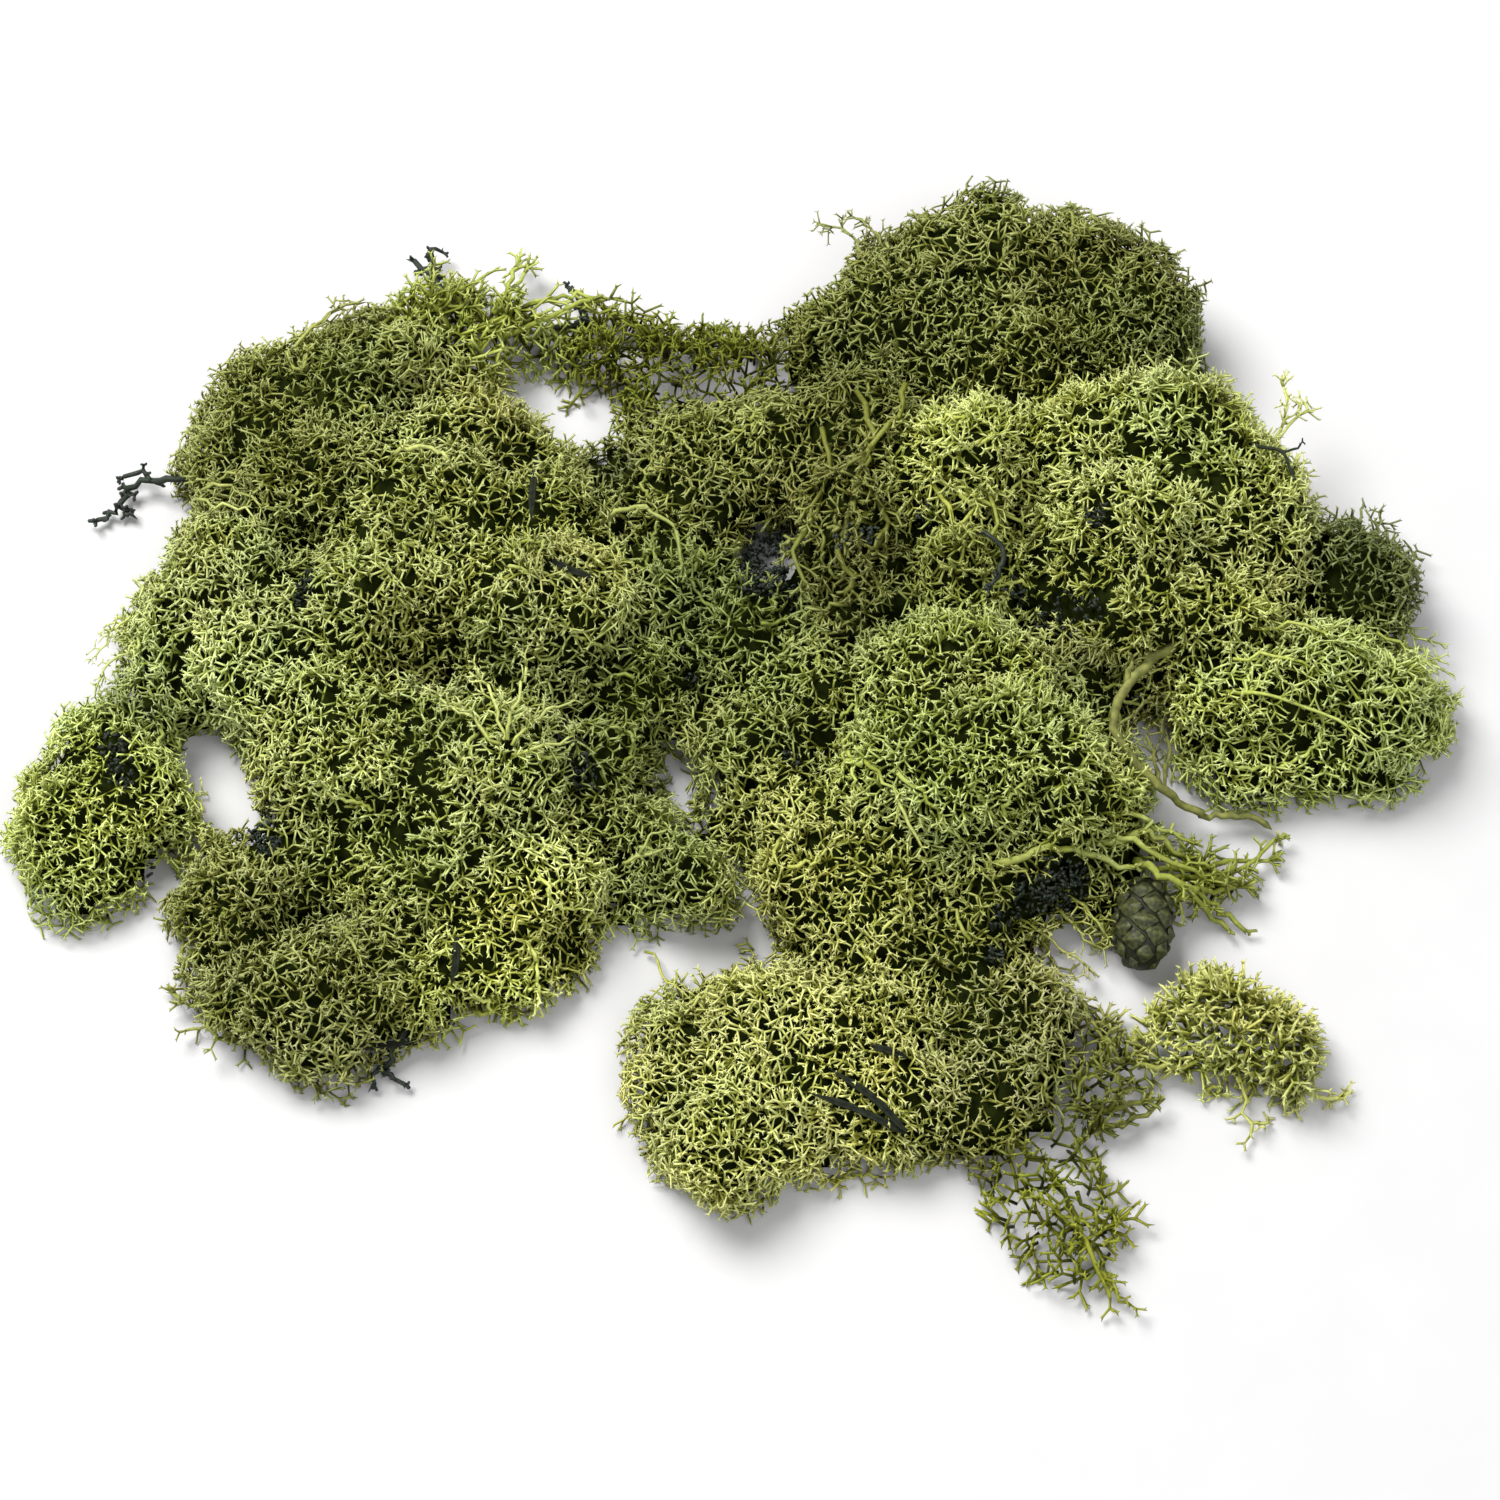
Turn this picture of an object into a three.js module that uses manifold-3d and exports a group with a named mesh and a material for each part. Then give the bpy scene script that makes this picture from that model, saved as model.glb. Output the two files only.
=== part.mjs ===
// Reindeer moss clump: a loose heap of branching lichen cushions, tangled together, with a
// small conifer cone, needles, a twig and dark plant scraps caught in it.
// Millimetres. +X to the right, +Y to the back, +Z up. The origin lies on the surface that
// the clump rests on, under the middle of its outline.
//
// Each cushion is one body: a mound whose whole surface is raised into pointed branch tips,
// with larger three-tipped branches rooted in it. Seen from above, the cushions share the
// cells of one triangular lattice, so they press against each other and never overlap.

import * as THREE from "three";
import { mergeVertices } from "three/addons/utils/BufferGeometryUtils.js";
import Module from "manifold-3d";

const wasm = await Module();
wasm.setup();

// ---- Driving dimensions ----------------------------------------------------------------

const HEAP_SHIFT = new THREE.Vector3(5.4, -10.5, 0); // moves the list below over the origin
const TOUCH_GAP = 0.3; // between bodies that press against each other

const CELL = 5.2; // between neighbouring points of the lattice
const CELL_JITTER = 0.9; // most shift of a lattice point
const CANOPY_DEPTH = 5; // from the branch tips down to the hollows between them
const OUTLINE_INSET = 4; // a mound's wall stands this far inside the outline of its tips
const BRIDGE_REACH = 7; // mounds of two lobes closer than twice this run into each other
const LOWEST_TOP = 4; // a mound is at least this high at its edge
const TIP_HEIGHT = 6.5; // of a raised tip above the hollows
const TIP_UNEVENNESS = 3;
const TIP_JITTER = 2; // most sideways shift of a raised tip
const TIP_OVERHANG = 0.75; // a tip stays within this share of a cell, seen from above
const SLOPE_WEIGHT = 0.12; // how much a tip leans down the slope under it
const SIDE_TIP = 3.4; // reach of the tips on a mound's outer wall
const SIDE_TIP_ROOM = 8; // kept clear of other cushions round such a tip

const FORK_LENGTH = 15; // a large branch from its root to its tips
const FORK_SPACING = 19; // between neighbouring large branches
const FORK_TRIES = 250; // for each lobe
const FORK_WIDTH = 3;
const FORK_NECK = 0.6; // share of its length at which a branch parts into three
const FORK_SPREAD = 6.5; // from a branch's axis out to each tip
const FORK_LEAN = 0.2; // random lean, as a share of the branch's length
const LOWEST_TIP = 0.6; // clear of the ground

const STEM_WIDTH = 2.6; // of the cushions' own long stems
const STEM_TIP_WIDTH = 1.2;
const STRAND_SIDES = 3;
const CONE_LENGTH = 27;
const CONE_RADIUS = 8;
const CONE_ROWS = 7;
const CONE_SCALES = 8; // in one turn
const SCALE_RELIEF = 1.1; // a scale's boss stands this far above the grooves

const FULL_REACH = 220; // beyond the whole heap
const SEED = 20261;

const PALE = 0xa7b25c;
const YELLOW = 0xb4b763;
const GREEN = 0x8a9a49;
const OLIVE = 0x77813d;
const DARK = 0x4f5b2d;
const OCHRE = 0x92873f;
const BLACKISH = 0x25302c;
const NEEDLE_GREY = 0x3f4a46;
const CONE_GREEN = 0x33391f;

// Lobes: [x, y, height of the widest level, reach in X, reach in Y, reach up, turn in degrees].
// The reach is measured to the branch tips. lean pulls the tips one way, as if combed.
const CUSHIONS = [
  {
    name: "far_left_cushion",
    colour: PALE,
    lobes: [[-170, -22, 10, 21, 20, 19, 0], [-163, 0, 9, 14, 13, 14, 0], [-156, -12, 11, 18, 18, 18, 0], [-160, -34, 7, 13, 10, 12, 0]],
  },
  {
    name: "left_shoulder_cushion",
    colour: DARK,
    lobes: [[-151, 7, 10, 17, 12, 15, 20], [-137, 9, 10, 13, 10, 14, 0]],
  },
  {
    name: "left_bright_cushion",
    colour: PALE,
    lobes: [[-138, 46, 16, 20, 19, 19, 0], [-149, 30, 12, 16, 14, 17, 0], [-126, 27, 18, 19, 20, 18, 0]],
  },
  {
    name: "left_dome_cushion",
    colour: OLIVE,
    lobes: [
      [-118, 95, 14, 26, 22, 24, 0], [-137, 79, 10, 14, 18, 20, 0],
      [-99, 107, 15, 26, 19, 22, 0], [-108, 76, 18, 23, 19, 23, 0],
    ],
  },
  {
    name: "top_arm_spray",
    colour: GREEN,
    lobes: [[-82, 127, 14, 17, 11, 15, 0], [-61, 130, 11, 16, 9, 11, 0], [-72, 115, 12, 17, 13, 15, 0]],
    stems: [
      [[-66, 120, 16], [-54, 127, 14], [-45, 134, 10], [-38, 138, 6]],
      [[-68, 128, 14], [-65, 135, 14], [-63, 144, 10], [-60, 151, 6]],
      [[-65, 135, 14], [-59, 146, 8]],
      [[-54, 127, 11], [-47, 118, 6], [-44, 111, 4], [-48, 107, 2]],
    ],
  },
  {
    name: "left_middle_cushion",
    colour: GREEN,
    lobes: [
      [-80, 60, 24, 27, 22, 22, 0], [-56, 34, 26, 26, 23, 21, 0], [-97, 38, 24, 20, 20, 20, 0],
      [-52, 66, 18, 16, 15, 17, 0], [-72, 87, 16, 24, 17, 19, 0],
    ],
  },
  {
    name: "left_centre_cushion",
    colour: GREEN,
    lobes: [
      [-94, -6, 22, 26, 22, 20, 0], [-66, -10, 22, 25, 23, 21, 0],
      [-104, 9, 22, 18, 13, 16, 0], [-74, -32, 18, 24, 14, 18, 0],
    ],
  },
  {
    name: "lower_left_cushion",
    colour: DARK,
    lobes: [
      [-127, -41, 9, 18, 20, 16, 0], [-116, -64, 9, 22, 19, 16, 0], [-95, -60, 10, 22, 20, 17, 0],
      [-116, -28, 8, 19, 13, 13, 0], [-134, -25, 7, 11, 10, 11, 0],
    ],
    stems: [[[-128, -62, 7], [-136, -64, 5], [-144, -60, 3]]],
  },
  {
    name: "lower_bright_cushion",
    colour: GREEN,
    lobes: [[-61, -44, 12, 21, 18, 17, 0], [-72, -62, 10, 22, 13, 15, 0], [-47, -34, 12, 13, 16, 17, 0]],
  },
  {
    name: "tongue_cushion",
    colour: OLIVE,
    lobes: [[-16, -37, 10, 13, 15, 17, 0], [-24, -23, 9, 11, 15, 15, 0]],
  },
  {
    name: "left_back_cushion",
    colour: DARK,
    lobes: [[-29, 15, 14, 15, 22, 18, 0], [-38, -8, 12, 12, 18, 17, 0]],
  },
  {
    name: "bridge_cushion",
    colour: OLIVE,
    lobes: [
      [-25, 118, 9, 17, 11, 12, 0], [-3, 115, 10, 19, 12, 14, 0], [-39, 122, 9, 13, 9, 11, 0],
      [-30, 105, 8, 9, 13, 10, 0],
    ],
  },
  {
    name: "centre_top_cushion",
    colour: OLIVE,
    lobes: [[-13, 88, 12, 20, 14, 16, 0], [-15, 71, 13, 18, 14, 16, 0], [5, 86, 14, 16, 15, 17, 0]],
  },
  {
    name: "combed_cushion",
    colour: OCHRE,
    lobes: [[29, 88, 18, 18, 17, 20, 0], [25, 61, 18, 19, 20, 20, 0], [28, 37, 16, 16, 16, 19, 0]],
    lean: [-0.25, -0.6, 0],
  },
  {
    name: "centre_cushion",
    colour: GREEN,
    lobes: [[-20, 48, 11, 18, 15, 16, 0], [-3, 36, 11, 17, 17, 15, 0]],
  },
  {
    name: "centre_low_cushion",
    colour: OLIVE,
    lobes: [[1, 3, 11, 20, 18, 17, 0], [16, 15, 12, 16, 16, 17, 0]],
  },
  {
    name: "front_centre_cushion",
    colour: GREEN,
    lobes: [[20, -34, 12, 23, 19, 19, 0], [34, -47, 9, 15, 11, 14, 0], [12, -17, 11, 16, 13, 17, 0]],
  },
  {
    name: "dark_dome_cushion",
    colour: DARK,
    lobes: [
      [37, 125, 15, 29, 25, 24, 0], [65, 135, 18, 31, 27, 26, 0],
      [95, 127, 17, 28, 26, 24, 0], [73, 110, 18, 34, 18, 24, 0],
    ],
  },
  {
    name: "yellow_head_cushion",
    colour: YELLOW,
    lobes: [[57, 75, 34, 20, 15, 16, 0]],
  },
  {
    name: "bright_cap_cushion",
    colour: YELLOW,
    lobes: [
      [83, 81, 36, 18, 14, 15, 0], [107, 80, 34, 24, 18, 18, 0], [100, 52, 36, 25, 19, 18, 0],
      [124, 62, 30, 19, 22, 19, 0], [95, 32, 32, 17, 12, 15, 0], [117, 34, 28, 20, 13, 17, 0],
    ],
    stems: [
      [[118, 70, 30], [130, 79, 27], [140, 85, 24], [146, 92, 22]],
      [[134, 81, 26], [138, 89, 25], [137, 95, 24]],
    ],
  },
  {
    name: "between_cushion",
    colour: DARK,
    lobes: [[57, 48, 20, 19, 15, 17, 0]],
  },
  {
    name: "under_cap_cushion",
    colour: DARK,
    lobes: [[84, 24, 14, 16, 14, 14, 0]],
  },
  {
    name: "dark_edge_cushion",
    colour: DARK,
    lobes: [[155, 47, 12, 19, 22, 18, 0]],
  },
  {
    name: "right_green_cushion",
    colour: GREEN,
    lobes: [
      [146, 12, 16, 28, 19, 20, 0], [160, 7, 12, 14, 14, 17, 0],
      [120, 7, 14, 21, 18, 18, 0], [147, -2, 11, 18, 9, 14, 0],
    ],
  },
  {
    name: "centre_right_cushion",
    colour: GREEN,
    lobes: [
      [59, -5, 28, 28, 23, 20, 0], [49, 18, 27, 20, 15, 18, 0], [77, -15, 24, 20, 15, 18, 0],
      [59, 22, 34, 11, 8, 11, 0], [35, -7, 22, 13, 15, 18, 0],
    ],
  },
  {
    name: "under_right_cushion",
    colour: DARK,
    lobes: [[64, -37, 11, 22, 12, 15, 0], [49, -50, 9, 16, 11, 13, 0]],
  },
  {
    name: "right_spray",
    colour: GREEN,
    lobes: [[100, -31, 8, 18, 11, 10, 0], [122, -26, 6, 15, 7, 6, 0]],
    stems: [
      [[83, -27, 17], [92, -25, 18], [99, -22, 15], [104, -25, 12], [109, -27, 9]],
      [[96, -27, 6], [97, -30, 14], [101, -35, 18], [108, -36, 13], [115, -35, 8], [122, -33, 6]],
      [[110, -36, 11], [115, -38, 6], [121, -42, 4]],
      [[108, -36, 13], [115, -41, 4], [120, -44, 2]],
      [[101, -31, 12], [112, -29, 9], [122, -26, 6], [134, -25, 3]],
      [[104, -33, 10], [113, -32, 8], [121, -29, 6], [128, -23, 5], [132, -19, 4]],
    ],
  },
  {
    name: "front_cushion",
    colour: PALE,
    lobes: [
      [7, -74, 12, 29, 19, 18, 0], [-6, -101, 11, 23, 20, 18, 0], [-17, -79, 10, 13, 15, 15, 0],
      [29, -87, 10, 21, 18, 16, 0], [27, -65, 10, 21, 11, 14, 0],
    ],
    stems: [[[-26, -49, 2], [-22, -55, 4], [-16, -62, 7], [-11, -70, 8]]],
  },
  {
    name: "front_net_cushion",
    colour: OLIVE,
    lobes: [[57, -76, 9, 20, 19, 14, 0], [47, -94, 8, 16, 14, 13, 0], [72, -65, 8, 12, 12, 13, 0], [62, -97, 7, 12, 10, 10, 0]],
  },
  {
    name: "link_spray",
    colour: DARK,
    lobes: [[82, -84, 8, 15, 13, 11, 0]],
    stems: [
      [[77, -90, 6], [84, -92, 7], [90, -91, 7], [96, -89, 6]],
      [[83, -88, 6], [85, -96, 5], [93, -94, 5], [101, -88, 4]],
      [[84, -80, 6], [92, -80, 7], [102, -81, 6], [112, -78, 6]],
    ],
  },
  {
    name: "front_right_spray",
    colour: PALE,
    lobes: [[118, -72, 9, 20, 15, 14, 0], [131, -85, 8, 13, 11, 12, 0]],
    stems: [
      [[131, -84, 8], [138, -88, 5], [145, -88, 2]],
      [[118, -76, 6], [119, -85, 5], [121, -94, 3], [122, -98, 2]],
      [[121, -94, 3], [127, -94, 2]],
    ],
  },
  {
    name: "tail_spray",
    colour: OLIVE,
    lobes: [[68, -109, 7, 12, 12, 10, 0], [73, -117, 8, 13, 12, 12, 0], [80, -128, 7, 10, 12, 9, 0]],
    stems: [
      [[58, -96, 5], [65, -102, 7], [72, -108, 8], [77, -119, 9], [81, -129, 8], [84, -135, 5], [85, -138, 3]],
      [[81, -129, 8], [85, -135, 5], [88, -138, 3], [90, -140, 2]],
      [[78, -113, 8], [81, -116, 6], [85, -120, 5], [90, -120, 3]],
      [[85, -120, 5], [89, -123, 2]],
    ],
  },
  {
    name: "dark_tuft",
    colour: BLACKISH,
    lobes: [[-36, 80, 9, 8, 9, 11, 0]],
  },
];

// Loose strands caught in the heap. Each is one body of one or more tapering runs, and the
// cushions give way to it.
const STRANDS = [
  {
    name: "long_stalk",
    colour: OCHRE,
    width: 3,
    tipWidth: 1.6,
    runs: [
      [
        [108, 26, 28], [98, 17, 27], [94, 12, 25], [90, 4, 23], [92, -2, 20], [99, -9, 16],
        [105, -12, 12], [111, -14, 8], [114, -15, 6], [120, -15, 6], [125, -14, 5], [131, -17, 3],
      ],
      [[94, 12, 25], [95, 17, 30]],
      [[102, -12, 14], [100, -7, 18], [98, -2, 21]],
    ],
  },
  { name: "needle_pair", colour: NEEDLE_GREY, width: 1.9, tipWidth: 0.8,
    runs: [[[37, -102, 21], [14, -93, 24]], [[37, -102, 21], [19, -87, 23]]] },
  { name: "needle_arm", colour: NEEDLE_GREY, width: 2, tipWidth: 0.8,
    runs: [[[-54, 77, 30], [-55, 54, 36]]] },
  { name: "needle_left_middle", colour: NEEDLE_GREY, width: 1.8, tipWidth: 0.8,
    runs: [[[-49, 39, 43], [-38, 36, 39]]] },
  { name: "needle_front", colour: NEEDLE_GREY, width: 1.8, tipWidth: 0.8,
    runs: [[[29, -82, 23], [38, -84, 20]]] },
  { name: "needle_lower", colour: NEEDLE_GREY, width: 1.8, tipWidth: 0.8,
    runs: [[[-98, -76, 17.5], [-81, -74, 16.6]]] },
  { name: "needle_bright", colour: NEEDLE_GREY, width: 1.8, tipWidth: 0.8,
    runs: [[[-71, -53, 23], [-72, -65, 21]]] },
  { name: "twig_right", colour: BLACKISH, width: 1.9, tipWidth: 1,
    runs: [[[126, 71, 44], [134, 71, 41], [139, 65, 36], [140, 53, 31]]] },
  { name: "dark_scrap_left", colour: BLACKISH, width: 2.4, tipWidth: 1,
    runs: [
      [[-143, 80, 11], [-150, 81, 8], [-157, 82, 6], [-163, 81, 4], [-165, 76, 3], [-168, 74, 3], [-172, 71, 2]],
      [[-165, 76, 3], [-162, 73, 3]],
      [[-163, 81, 4], [-165, 84, 4]],
    ] },
  { name: "dark_scrap_top", colour: BLACKISH, width: 2.2, tipWidth: 1,
    runs: [
      [[-79, 134, 12], [-86, 146, 8], [-93, 151, 5]],
      [[-86, 146, 8], [-86, 153, 6], [-83, 155, 5]],
    ] },
  { name: "dark_scrap_arm", colour: BLACKISH, width: 2.2, tipWidth: 1,
    runs: [[[-52, 127, 9], [-43, 129, 7], [-47, 139, 6], [-50, 142, 5]]] },
  { name: "dark_scrap_fold", colour: BLACKISH, width: 2.6, tipWidth: 1.6,
    runs: [[[57, 50, 37], [64, 44, 35], [59, 37, 33]]] },
  { name: "dark_scrap_bottom", colour: BLACKISH, width: 1.8, tipWidth: 1,
    runs: [[[-84, -72, 8], [-90, -80, 3], [-93, -86, 2]]] },
];

// The cone lies on its side, half under the moss, with its tip to the front.
const CONE = { name: "cone", colour: CONE_GREEN, middle: [97, -45, 8], heading: -97, dip: -4 };

// ---- Small tools -----------------------------------------------------------------------

/** A repeatable source of numbers from 0 to 1 (mulberry32). */
function seededRandom(seed) {
  let state = seed >>> 0;
  return () => {
    state = (state + 0x6d2b79f5) >>> 0;
    let mixed = Math.imul(state ^ (state >>> 15), 1 | state);
    mixed = (mixed + Math.imul(mixed ^ (mixed >>> 7), 61 | mixed)) ^ mixed;
    return ((mixed ^ (mixed >>> 14)) >>> 0) / 4294967296;
  };
}

const UPWARD = new THREE.Vector3(0, 0, 1);
const DOWNWARD = new THREE.Vector3(0, 0, -1);

const vector = (xyz) => new THREE.Vector3(...xyz);

function closedGeometry(points, triangles) {
  const geometry = new THREE.BufferGeometry();
  const numbers = points.flatMap((point) => point.toArray());
  geometry.setAttribute("position", new THREE.Float32BufferAttribute(numbers, 3));
  geometry.setIndex(triangles.flat());
  return geometry;
}

function toSolid(geometry) {
  const bare = geometry.clone();
  bare.deleteAttribute("normal");
  bare.deleteAttribute("uv");
  const merged = mergeVertices(bare, 1e-4);
  return new wasm.Manifold(new wasm.Mesh({
    numProp: 3,
    vertProperties: new Float32Array(merged.attributes.position.array),
    triVerts: new Uint32Array(merged.index.array),
  }));
}

function toGeometry(solid) {
  const mesh = solid.getMesh();
  const geometry = new THREE.BufferGeometry();
  geometry.setAttribute("position", new THREE.BufferAttribute(new Float32Array(mesh.vertProperties), 3));
  geometry.setIndex(new THREE.BufferAttribute(new Uint32Array(mesh.triVerts), 1));
  return geometry;
}

const join = (solids) => solids.reduce((sum, solid) => sum.add(solid));

/** Drops the scraps that a cut has set loose. */
function largestBody(solid) {
  const bodies = solid.decompose();
  return bodies.reduce((best, body) => (body.volume() > best.volume() ? body : best));
}

/** A block that fills everything beyond the plane normal . p = offset. */
function blockBeyond(normal, offset) {
  const block = new THREE.BoxGeometry(2 * FULL_REACH, 2 * FULL_REACH, 2 * FULL_REACH);
  const turn = new THREE.Quaternion().setFromUnitVectors(UPWARD, normal);
  block.translate(0, 0, FULL_REACH);
  block.applyQuaternion(turn);
  block.translate(normal.x * offset, normal.y * offset, normal.z * offset);
  return toSolid(block);
}

// ---- Lobes and the height of the heap ---------------------------------------------------

function makeLobe([x, y, z, reachX, reachY, reachUp, turn], cushion) {
  return {
    cushion,
    centre: new THREE.Vector3(x, y, z),
    reach: new THREE.Vector3(reachX, reachY, reachUp),
    turn: THREE.MathUtils.degToRad(turn),
  };
}

/** How far out a place lies in a lobe's plan: 1 on its outline. */
function planLevel(lobe, x, y) {
  const local = new THREE.Vector3(x - lobe.centre.x, y - lobe.centre.y, 0);
  local.applyAxisAngle(UPWARD, -lobe.turn);
  return Math.hypot(local.x / lobe.reach.x, local.y / lobe.reach.y);
}

/** The height of the branch tips at a place, and the cushion that shows there, or null. */
function heapAt(x, y) {
  let inside = 0;
  let near = 0;
  let top = null;
  for (const lobe of allLobes) {
    const level = planLevel(lobe, x, y);
    const outside = (level - 1) * Math.min(lobe.reach.x, lobe.reach.y);
    if (outside > BRIDGE_REACH) continue;
    near += 1;
    if (outside < -OUTLINE_INSET) inside += 1;
    const dome = level < 1 ? lobe.reach.z * Math.sqrt(1 - level * level) : lobe.centre.z * (1 - level);
    const height = lobe.centre.z + dome;
    if (top === null || height > top.height) top = { height, cushion: lobe.cushion };
  }
  return inside > 0 || near > 1 ? top : null;
}

/** Whether a place and its surroundings are free or belong to the cushion. */
function isClear(point, cushion, room) {
  for (let i = 0; i < 8; i += 1) {
    const angle = (i / 8) * 2 * Math.PI;
    const top = heapAt(point.x + room * Math.cos(angle), point.y + room * Math.sin(angle));
    if (top !== null && top.cushion !== cushion) return false;
  }
  return true;
}

// ---- The lattice --------------------------------------------------------------------------

const ROW_STEP = CELL * Math.sqrt(0.75);
const COLUMNS = Math.ceil(FULL_REACH / CELL);
const ROWS = Math.ceil(FULL_REACH / ROW_STEP);

const keyOf = (column, row) => `${column},${row}`;

/** Every lattice point on the heap, with its place, height and cushion. */
function layLattice(random) {
  const lattice = new Map();
  for (let row = -ROWS; row <= ROWS; row += 1) {
    for (let column = -COLUMNS; column <= COLUMNS; column += 1) {
      const shift = row % 2 === 0 ? 0 : 0.5;
      const x = (column + shift) * CELL + 2 * CELL_JITTER * (random() - 0.5);
      const y = row * ROW_STEP + 2 * CELL_JITTER * (random() - 0.5);
      const top = heapAt(x, y);
      if (top === null) continue;
      const z = Math.max(top.height - CANOPY_DEPTH, LOWEST_TOP);
      lattice.set(keyOf(column, row), { place: new THREE.Vector3(x, y, z), cushion: top.cushion });
    }
  }
  return lattice;
}

/** The lattice's triangles, counter-clockwise from above, by the cushion that most corners show. */
function shareTriangles(lattice) {
  const shares = CUSHIONS.map(() => []);
  const share = (keys) => {
    const corners = keys.map((key) => lattice.get(key));
    if (corners.some((corner) => corner === undefined)) return;
    const [a, b, c] = corners.map((corner) => corner.cushion);
    const owner = b === c ? b : a;
    shares[owner].push(keys);
  };
  for (let row = -ROWS; row < ROWS; row += 1) {
    for (let column = -COLUMNS; column < COLUMNS; column += 1) {
      const here = keyOf(column, row);
      const right = keyOf(column + 1, row);
      const above = keyOf(column, row + 1);
      const aboveRight = keyOf(column + 1, row + 1);
      if (row % 2 === 0) {
        share([here, right, above]);
        share([right, aboveRight, above]);
      } else {
        share([here, right, aboveRight]);
        share([here, aboveRight, above]);
      }
    }
  }
  return shares;
}

/** Splits triangles into groups that hang together across the edges that join them. */
function edgeGroups(triangles) {
  const byEdge = new Map();
  triangles.forEach((keys, index) => {
    for (let i = 0; i < 3; i += 1) {
      const edge = [keys[i], keys[(i + 1) % 3]].sort().join(" ");
      if (!byEdge.has(edge)) byEdge.set(edge, []);
      byEdge.get(edge).push(index);
    }
  });
  const group = new Array(triangles.length).fill(-1);
  const groups = [];
  triangles.forEach((_, start) => {
    if (group[start] >= 0) return;
    const members = [];
    const waiting = [start];
    group[start] = groups.length;
    while (waiting.length > 0) {
      const index = waiting.pop();
      members.push(triangles[index]);
      for (let i = 0; i < 3; i += 1) {
        const edge = [triangles[index][i], triangles[index][(i + 1) % 3]].sort().join(" ");
        for (const next of byEdge.get(edge)) {
          if (group[next] >= 0) continue;
          group[next] = groups.length;
          waiting.push(next);
        }
      }
    }
    groups.push(members);
  });
  return groups.sort((a, b) => b.length - a.length);
}

/** One sheet of triangles with no corner where two of its parts only touch. */
function soundSheet(triangles) {
  let sheet = edgeGroups(triangles)[0];
  for (;;) {
    const around = new Map();
    for (const keys of sheet) {
      for (const key of keys) around.set(key, [...(around.get(key) ?? []), keys]);
    }
    const loose = new Set();
    for (const fan of around.values()) {
      for (const members of edgeGroups(fan).slice(1)) members.forEach((keys) => loose.add(keys));
    }
    if (loose.size === 0) return sheet;
    sheet = edgeGroups(sheet.filter((keys) => !loose.has(keys)))[0];
  }
}

/** The loops of edges round a sheet, each a list of keys, the longest first. */
function rimLoops(sheet) {
  const next = new Map();
  for (const keys of sheet) {
    for (let i = 0; i < 3; i += 1) next.set(`${keys[i]} ${keys[(i + 1) % 3]}`, true);
  }
  const onward = new Map();
  for (const edge of next.keys()) {
    const [from, to] = edge.split(" ");
    if (!next.has(`${to} ${from}`)) onward.set(from, to);
  }
  const loops = [];
  while (onward.size > 0) {
    const loop = [];
    let key = onward.keys().next().value;
    while (onward.has(key)) {
      loop.push(key);
      const following = onward.get(key);
      onward.delete(key);
      key = following;
    }
    loops.push(loop);
  }
  return loops.sort((a, b) => b.length - a.length);
}

/** One cushion's mound: tips raised over its share of the lattice, walls, and a flat foot. */
function moundSolid(sheet, lattice, cushion, random) {
  const points = [];
  const indexOf = new Map();
  for (const key of new Set(sheet.flat())) {
    indexOf.set(key, points.length);
    points.push(lattice.get(key).place.clone());
  }
  const beside = new Map();
  for (const keys of sheet) {
    for (const key of keys) beside.set(key, new Set([...(beside.get(key) ?? []), ...keys]));
  }
  const loops = rimLoops(sheet);
  const rim = new Set(loops.flat());
  const raised = new Set();
  for (const [key, index] of indexOf) {
    if (rim.has(key) || [...beside.get(key)].some((other) => raised.has(other))) continue;
    raised.add(key);
    points[index] = raisedTip(points[index], [...beside.get(key)].map((other) => lattice.get(other).place), random);
  }
  const triangles = sheet.map((keys) => keys.map((key) => indexOf.get(key)));
  const feet = loops.map((loop) => addWall(loop, points, indexOf, lattice, triangles, cushion, random));
  const flat = feet.map((foot) => foot.map((index) => new THREE.Vector2(points[index].x, points[index].y)));
  const order = feet.flat();
  for (const [a, b, c] of THREE.ShapeUtils.triangulateShape(flat[0], flat.slice(1))) {
    triangles.push([order[a], order[c], order[b]]);
  }
  return toSolid(closedGeometry(points, triangles));
}

/** Moves a point out along the slope of its surroundings, but not past its own cell. */
function raisedTip(place, around, random) {
  const slope = new THREE.Vector3(0, 0, 1);
  for (const other of around) {
    const away = new THREE.Vector2(place.x - other.x, place.y - other.y);
    const reach = Math.max(away.length(), 1);
    slope.x += (away.x / reach) * (place.z - other.z) * SLOPE_WEIGHT;
    slope.y += (away.y / reach) * (place.z - other.z) * SLOPE_WEIGHT;
  }
  slope.normalize().multiplyScalar(TIP_HEIGHT + TIP_UNEVENNESS * (random() - 0.5));
  const sideways = new THREE.Vector2(
    slope.x + 2 * TIP_JITTER * (random() - 0.5),
    slope.y + 2 * TIP_JITTER * (random() - 0.5),
  );
  sideways.clampLength(0, CELL * TIP_OVERHANG);
  const lift = Math.max(slope.z, TIP_HEIGHT / 2);
  return new THREE.Vector3(place.x + sideways.x, place.y + sideways.y, place.z + lift);
}

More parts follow.
